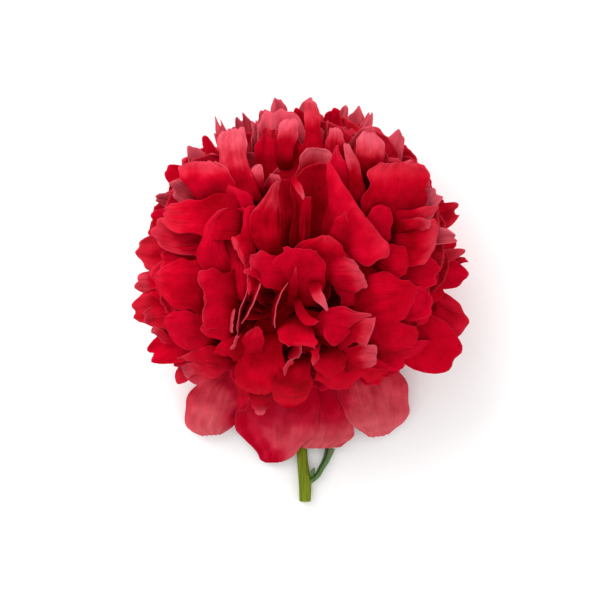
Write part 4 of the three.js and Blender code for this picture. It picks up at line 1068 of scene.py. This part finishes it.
def ball_mesh(name, middle, radii, around, down):
    """A closed ellipsoid: rings of points from pole to pole, with one point at each pole."""
    turn = np.linspace(0, 2 * np.pi, around, endpoint=False)
    tilt = np.linspace(0, np.pi, down + 1)[1:-1, None]
    rings = np.stack(np.broadcast_arrays(
        np.sin(tilt) * np.cos(turn), np.sin(tilt) * np.sin(turn), np.cos(tilt)), axis=-1)
    points = np.concatenate([rings.reshape(-1, 3), [[0, 0, 1], [0, 0, -1]]])
    points = (points * radii + middle) / 1000
    j, i = np.mgrid[0:down - 2, 0:around]
    after = (i + 1) % around
    quads = np.stack([j * around + i, (j + 1) * around + i, (j + 1) * around + after,
                      j * around + after], axis=-1).reshape(-1, 4)
    k = np.arange(around)
    top = np.stack([k, (k + 1) % around, np.full(around, len(points) - 2)], axis=1)
    low = (down - 2) * around
    bottom = np.stack([low + (k + 1) % around, low + k, np.full(around, len(points) - 1)], axis=1)
    return smooth_piece(name, points, [*quads.tolist(), *top.tolist(), *bottom.tolist()])


core_material, core_tree = new_material("packed_petal_bases")
core_spot = add_node(core_tree, "TexCoord", None, None, 3)
core_grain = add_node(core_tree, "TexNoise", None,
                      {"Vector": core_spot, "Scale": 260.0, "Detail": 4.0})
# A painted shade: the crimson of the bases, darkened as the depths of the bloom are.
core_shaded_crimson = core_grain.stepped(0.35, 0.7).mixed((0.12, 0, 0.001, 1), (0.25, 0, 0.002, 1))
core_bump = add_node(core_tree, "Bump", None,
                     {"Strength": 0.8, "Distance": 0.002, "Height": core_grain})
finish_surface(core_tree, Base_Color=core_shaded_crimson, Roughness=0.8, Normal=core_bump)
core = ball_mesh("petal_bases", CORE_MIDDLE, CORE_RADII, 48, 24)
core.data.materials.append(core_material)
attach(core, "root")
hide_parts("bloom")

# ---------------------------------------------------------------- guard petals
# The outermost whorl: twelve broad petals, paler and duller than the crown, with crimson streaks
# from the base. Four hang over the stem and the others cup the ball; three press on the table.
GUARD_ROOT_RADIUS = 6
GUARD_DISC_RADII = (12, 12, 2.2)
# Columns: heading, length, width, rise at the root, rise at the tip, cup.
guard_rows = [
    (328, 66, 40, -75, 60, 24),
    (3, 66, 40, -45, 66, 30),
    (40, 67, 40, -45, 66, 30),
    (78, 68, 40, -73, 62, 24),
    (112, 67, 40, -45, 66, 30),
    (146, 66, 40, -45, 66, 30),
    (178, 66, 40, -45, 66, 30),
    (211, 66, 40, -75, 60, 24),
]
# The four that hang over the stem are drawn by their stations as the crown's are, but with
# heights above the table in place of depths.
guard_petals = {
    "guard_left": (1, [
        (-6.5, 0, 3, 3.5, 19, 19, 19, 0),
        (-28.5, -21, -9, -28.5, 17, 18, 16, 0),
        (-47.5, -39, -20, -39.5, 12, 15, 11, 0),
        (-52, -50.5, -24, -50.5, 8, 11, 7, 0),
        (-50.5, -60, -30.5, -58, 6, 8, 5, 0),
        (-46, -62.5, -36, -62, 5, 6, 5, 0),
    ]),
    "guard_middle_left": (0.75, [
        (-4.5, -0.5, 3, 0, 19, 19, 19, 0),
        (-17.5, -22.5, 3.5, -23.5, 18, 19, 18, 0),
        (-25.5, -41, 7, -42, 13, 16, 14, 0),
        (-29, -53.5, 7.5, -54, 10, 14, 11, 0),
        (-26, -63, 5, -63, 6, 11, 9, 0),
        (-20, -72, -0.5, -70, 3, 8, 7, 0),
        (-15.5, -75, -8, -74.5, 3, 5, 4, 0),
    ]),
    "guard_middle": (0.8, [
        (-2, -0.5, 5.5, 0, 19, 19, 19, 0),
        (-3, -22.5, 16.5, -22.5, 15, 16, 14, 0),
        (-2, -43.5, 25, -43, 11, 11, 9, 0),
        (-1, -56, 26.5, -56.5, 8, 9, 7, 0),
        (0, -63, 23, -64, 7, 8, 6.5, 0),
        (1.5, -68.5, 16.5, -68, 6.5, 7, 6.5, 0),
    ]),
    "guard_right": (1, [
        (0, 2, 7.5, -0.5, 19, 19, 19, 0),
        (11, -23.5, 33, -15.5, 17, 18, 17, 0),
        (16.5, -38.5, 46, -33, 13, 15, 12, 0),
        (20, -49, 49.5, -46.5, 11, 12, 8, 0),
        (25.5, -59, 47.5, -56.5, 9, 9, 6, 0),
        (31.5, -63.5, 40.5, -62.5, 7, 7, 5, 0),
    ]),
}
cupping_guards = []
for k, (heading, length, width, rise_root, rise_tip, cup) in enumerate(guard_rows):
    cupping_guards.append(petal_shape(
        heading=heading, length=length, width=width, rise_root=rise_root, rise_tip=rise_tip,
        cup=cup, claw=0.25, twist=9, round=0.24, ruffle=1.2, waves=2.2, pale=1.0,
        root_x=RECEPTACLE[0] + GUARD_ROOT_RADIUS * math.cos(math.radians(heading)),
        root_y=RECEPTACLE[1] + GUARD_ROOT_RADIUS * math.sin(math.radians(heading)),
        root_z=RECEPTACLE[2]))
hanging_guards = [
    dict(stations=np.stack(station_columns(rows)).transpose(2, 1, 0), round=0.03, pale=pale)
    for pale, rows in guard_petals.values()]
# Its pale ends are partly the guards' own paler colour and partly painted sheen; its shaded colour
# is the crimson of the flushes.
guard_skin = petal_material(
    "guard_petal_skin", deep=(0.3, 0.002, 0.012, 1), body=(0.52, 0.004, 0.03, 1),
    bright=(0.62, 0.02, 0.05, 1), pale=(0.62, 0.095, 0.115, 1), shaded=(0.42, 0.0005, 0.014, 1),
    pale_start=0.25, streaks=0.38)
# Crimson flushes of the hanging guards. Columns: x, y, radius.
FLUSHES = [(-27, -56, 5), (-24, -63, 5), (-19, -69, 5), (-13, -74, 5), (-18, -48, 6),
           (8, -42, 9), (14, -48, 6), (-24, -38, 6), (2, -46, 7)]


def guard_shade(middle):
    """How crimson the points of the guards are: 1 in the middle of each flush."""
    share = np.zeros(middle.shape[:-1])
    for x, y, radius in FLUSHES:
        out = (middle[..., 0] - x) ** 2 + (middle[..., 1] - y) ** 2
        share = np.maximum(share, np.exp(-out / (1.3 * radius**2)))
    return share


for name, petals in (("cupping_guards", cupping_guards), ("hanging_guards", hanging_guards)):
    add_finish(petals, 0.2)
    piece = blade_mesh(name, petals, 36, 60, PETAL_THICKNESS, guard_shade)
    piece.data.materials.append(guard_skin)
    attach(piece, "root")
    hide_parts("guard_petals")
disc = ball_mesh("guard_disc", RECEPTACLE, GUARD_DISC_RADII, 40, 12)
disc.data.materials.append(core_material)
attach(disc, "root")
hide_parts("guard_petals")

# ---------------------------------------------------------------- calyx
# The swollen green top of the stem and the five rounded sepals grown on it, which press against
# the undersides of the guard petals.
SEPAL_THICKNESS = 1.1
SEPAL_COUNT = 5
SEPAL_ROOT_RADIUS = 4
SEPAL_DROP = 8                 # below the receptacle, as the next one
BULB_DROP = 6.5
BULB_RADII = (8.5, 8.5, 6)


def green_skin(name, dark, light, grain, tinge, tinge_start):
    """Skin of the green pieces: two greens in long grains, with a tinge that grows with the first
    number of the piece's attribute, and a painted shade of dark green in the groove, where the
    second is high."""
    material, tree = new_material(name)
    spot = add_node(tree, "SeparateXYZ", None, {0: add_node(tree, "TexCoord", None, None, 3)})
    long = add_node(tree, "CombineXYZ", None,
                    {0: spot * grain, 1: spot.beside(1) * 90, 2: spot.beside(2) * grain})
    noise = add_node(tree, "TexNoise", None, {"Vector": long, "Scale": 1.0, "Detail": 4.0})
    nature = add_node(tree, "Attribute", {"attribute_name": "nature"})
    along = add_node(tree, "SeparateColor", None, {0: nature})
    groove = along.beside(1)
    base = noise.stepped(0.3, 0.7).mixed(dark, light)
    base = (along.stepped(tinge_start, 1.0) * 0.8).mixed(base, tinge)
    # Painted shade in the groove of the side stalk.
    base = (groove * 0.9).mixed(base, (0.004, 0.028, 0.01, 1))
    bump = add_node(tree, "Bump", None, {"Strength": 0.4, "Distance": 0.0004, "Height": noise})
    finish_surface(tree, Base_Color=base, Roughness=0.5 + 0.2 * noise, Normal=bump,
                   Specular_IOR_Level=0.1)
    return material


sepals = []
for k in range(SEPAL_COUNT):
    heading = 54 + 360 // SEPAL_COUNT * k
    sepals.append(petal_shape(
        heading=heading, length=19, width=15, rise_root=-50, rise_tip=2, cup=25, claw=0.6,
        root_x=RECEPTACLE[0] + SEPAL_ROOT_RADIUS * math.cos(math.radians(heading)),
        root_y=RECEPTACLE[1] + SEPAL_ROOT_RADIUS * math.sin(math.radians(heading)),
        root_z=RECEPTACLE[2] - SEPAL_DROP))
add_finish(sepals)
calyx_skin = green_skin("calyx_skin", (0.08, 0.16, 0.03, 1), (0.2, 0.28, 0.07, 1), 400,
                        (0.25, 0.06, 0.03, 1), 0.6)
for piece in (blade_mesh("sepals", sepals, 16, 20, SEPAL_THICKNESS),
              ball_mesh("calyx_bulb", (*RECEPTACLE[:2], RECEPTACLE[2] - BULB_DROP),
                        BULB_RADII, 40, 20)):
    piece.data.materials.append(calyx_skin)
    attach(piece, "root")
    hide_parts("calyx")

# ---------------------------------------------------------------- stem
# A fleshy stem that runs just above the table and bends up into the calyx, cut square with its
# pith showing. A channelled side stalk forks off near the cut, with a small bract in the fork.
# Columns of the stations: x, y, z, radius.
stem_stations = [
    (2.3, -92.6, 2.8, 2.6), (2.3, -90.5, 2.8, 2.7), (2.3, -85, 2.95, 2.85),
    (1.5, -78, 2.75, 2.55), (0.9, -70, 2.65, 2.45), (0.6, -58, 2.5, 2.3), (0.2, -30, 2.6, 2.3),
    (0, -10, 3.4, 2.3), (0, 1, 6.2, 2.4), (0, 8, 10.5, 2.8),
]
stalk_stations = [
    (2.9, -84.3, 2.9, 1.5), (7.6, -81, 3.1, 1.4), (9.9, -77.2, 3, 1.45), (12.2, -73.1, 2.9, 1.75),
    (13.9, -68, 2.9, 2.3),
]


RIDGE_DEPTH = 0.015            # share of the radius
GROOVE_ANGLE = 125             # degrees from the right side over the top
GROOVE_WIDTH = 0.4             # radians
PITH_RADII = (2.45, 0.6, 2.45)
BRACT_THICKNESS = 0.7


def tube_mesh(name, stations, sides, steps, ridges, groove_depth):
    """A closed tube along Catmull-Rom curves through the stations, with shallow ridges and a
    groove on the left of its top. Its attribute carries how far along it is and the groove."""
    line = curve_through(np.array(stations, float), np.linspace(0, 1, steps + 1))
    centre, radius = line[:, :3], line[:, 3:]
    ahead = np.gradient(centre, axis=0)
    ahead /= np.linalg.norm(ahead, axis=1, keepdims=True)
    right = np.cross(ahead, (0, 0, 1))
    right /= np.linalg.norm(right, axis=1, keepdims=True)
    up = np.cross(right, ahead)
    turn = np.linspace(0, 2 * np.pi, sides, endpoint=False)
    groove = np.exp(-((turn - math.radians(GROOVE_ANGLE)) / GROOVE_WIDTH) ** 2) * (groove_depth > 0)
    reach = radius * (1 + RIDGE_DEPTH * np.cos(ridges * turn) - groove_depth * groove)
    rings = (centre[:, None] + (reach * np.cos(turn))[..., None] * right[:, None]
             + (reach * np.sin(turn))[..., None] * up[:, None])
    points = np.concatenate([rings.reshape(-1, 3), centre[[0, -1]]]) / 1000
    j, i = np.mgrid[0:steps, 0:sides]
    after = (i + 1) % sides
    quads = np.stack([j * sides + i, j * sides + after, (j + 1) * sides + after,
                      (j + 1) * sides + i], axis=-1).reshape(-1, 4)
    k = np.arange(sides)
    low = np.stack([(k + 1) % sides, k, np.full(sides, len(points) - 2)], axis=1)
    top = steps * sides
    high = np.stack([top + k, top + (k + 1) % sides, np.full(sides, len(points) - 1)], axis=1)
    piece = smooth_piece(name, points, [*quads.tolist(), *low.tolist(), *high.tolist()])
    nature = np.zeros((len(points), 4), np.float32)
    nature[:-2, 0] = np.repeat(np.linspace(0, 1, steps + 1), sides)
    nature[:-2, 1] = np.tile(groove, steps + 1)
    give_nature(piece, nature)
    return piece


stem_skin = green_skin("stem_skin", (0.1, 0.145, 0.002, 1), (0.21, 0.26, 0.013, 1), 1100,
                       (0.11, 0.08, 0.002, 1), 0.1)
stalk_skin = green_skin("stalk_skin", (0.07, 0.15, 0.035, 1), (0.14, 0.22, 0.08, 1), 700,
                        (0.13, 0.15, 0.07, 1), 0.6)
bract = petal_shape(root_x=5.2, root_y=-81.2, root_z=3.5, heading=71, length=4.4, width=2,
                    rise_root=10, rise_tip=18, cup=30, claw=0.9, round=0.6)
add_finish([bract])
for piece, skin in (
        (tube_mesh("stem_shaft", stem_stations, 40, 160, 7, 0), stem_skin),
        (tube_mesh("side_stalk", stalk_stations, 32, 60, 3, 0.3), stalk_skin),
        (blade_mesh("bract", [bract], 8, 12, BRACT_THICKNESS), stalk_skin)):
    piece.data.materials.append(skin)
    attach(piece, "root")
    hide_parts("stem")
pith_material, pith_tree = new_material("cut_pith")
pith_spot = add_node(pith_tree, "TexCoord", None, None, 3)
pith_grain = add_node(pith_tree, "TexNoise", None,
                      {"Vector": pith_spot, "Scale": 1500.0, "Detail": 3.0})
pith_colour = pith_grain.stepped(0.35, 0.7).mixed((0.2, 0.26, 0.03, 1), (0.45, 0.5, 0.2, 1))
finish_surface(pith_tree, Base_Color=pith_colour, Roughness=0.7)
pith = ball_mesh("cut_pith", stem_stations[0][:3], PITH_RADII, 40, 20)
pith.data.materials.append(pith_material)
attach(pith, "root")
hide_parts("stem")

# ---------------------------------------------------------------- side leaf
# The folded green blade that the side stalk carries, just above the table under the bloom. Its
# midrib and its slanting side veins are paler than the blade.
LEAF_THICKNESS = 0.9
leaf_blade = petal_shape(root_x=14.2, root_y=-67.4, root_z=1.7, heading=82, length=42, width=15,
                         rise_root=-4, rise_tip=4, cup=42, claw=0.3, round=0.55, ruffle=0.5)
add_finish([leaf_blade])
leaf = blade_mesh("leaf_blade", [leaf_blade], 40, 80, LEAF_THICKNESS)
leaf_skin, leaf_tree = new_material("leaf_skin")
leaf_place = add_node(leaf_tree, "UVMap", {"uv_map": "petal_uv"})
leaf_across = add_node(leaf_tree, "SeparateXYZ", None, {0: leaf_place})
leaf_side = leaf_across.node("Math", {"operation": "ABSOLUTE"}, {0: leaf_across * 2 - 1})
side_vein = leaf_across.node("Math", {"operation": "SINE"},
                             {0: leaf_across.beside(1) * 60 - leaf_side * 16})
leaf_vein = side_vein.stepped(0.8, 1.0) * 0.5 + (1 - leaf_side.stepped(0.02, 0.08))
leaf_cloud = add_node(leaf_tree, "TexNoise", None, {
    "Vector": add_node(leaf_tree, "TexCoord", None, None, 3), "Scale": 120.0, "Detail": 4.0})
leaf_green = leaf_cloud.stepped(0.3, 0.7).mixed((0.025, 0.075, 0.02, 1), (0.05, 0.12, 0.035, 1))
leaf_colour = (leaf_vein * 0.8).mixed(leaf_green, (0.16, 0.25, 0.09, 1))
leaf_bump = add_node(leaf_tree, "Bump", None, {
    "Strength": 0.5, "Distance": 0.0004, "Height": leaf_vein * -1 + leaf_cloud * 0.3})
finish_surface(leaf_tree, Base_Color=leaf_colour, Roughness=0.5, Normal=leaf_bump,
               Specular_IOR_Level=0.3)
leaf.data.materials.append(leaf_skin)
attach(leaf, "root")
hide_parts("side_leaf")

# ---------------------------------------------------------------- floor, light and camera
# A plain pale floor, one large soft light from beyond the top left, and a soft even sky. The
# camera looks straight down on the bloom from far enough for a flat view.
FLOOR_HALF = 3.0
SKY_STRENGTH = 1.03
floor_mesh = bpy.data.meshes.new("floor")
floor_mesh.from_pydata([(-FLOOR_HALF, -FLOOR_HALF, 0), (FLOOR_HALF, -FLOOR_HALF, 0),
                        (FLOOR_HALF, FLOOR_HALF, 0), (-FLOOR_HALF, FLOOR_HALF, 0)], [],
                       [(0, 1, 2, 3)])
floor = bpy.data.objects.new("floor", floor_mesh)
bpy.context.collection.objects.link(floor)
floor_material, floor_tree = new_material("pale_floor")
finish_surface(floor_tree, Base_Color=(1.0, 1.0, 1.0, 1), Roughness=0.9)
floor_mesh.materials.append(floor_material)


def soft_light(name, place, size, watts):
    """A square area light aimed at the bloom."""
    light = bpy.data.lights.new(name, "AREA")
    light.size = size
    light.energy = watts
    lamp = bpy.data.objects.new(name, light)
    bpy.context.collection.objects.link(lamp)
    lamp.location = place
    direction = np.array((0, 0.02, 0.05)) - np.array(place)
    horizontal = math.hypot(direction[0], direction[1])
    lamp.rotation_euler = (math.atan2(horizontal, -direction[2]), 0,
                           math.atan2(-direction[0], direction[1]))
    return lamp


soft_light("key", (-0.9, 1.25, 1.2), 1.6, 25)
world = bpy.data.worlds.new("sky")
world.use_nodes = True
world.node_tree.nodes["Background"].inputs["Color"].default_value = (1, 1, 1, 1)
world.node_tree.nodes["Background"].inputs["Strength"].default_value = SKY_STRENGTH
bpy.context.scene.world = world
bpy.context.scene.view_settings.view_transform = "Standard"

# The view is this wide at the height of the ball's widest part.
VIEW_WIDTH = 0.270
VIEW_HEIGHT_ABOVE_RIM = 2.0
RIM_HEIGHT = 0.05
SENSOR_WIDTH = 36
camera_data = bpy.data.cameras.new("camera")
camera_data.sensor_width = SENSOR_WIDTH
camera_data.lens = SENSOR_WIDTH * VIEW_HEIGHT_ABOVE_RIM / VIEW_WIDTH
camera_data.clip_end = 20
camera = bpy.data.objects.new("camera", camera_data)
bpy.context.collection.objects.link(camera)
camera.location = (0, 0, VIEW_HEIGHT_ABOVE_RIM + RIM_HEIGHT)
bpy.context.scene.camera = camera
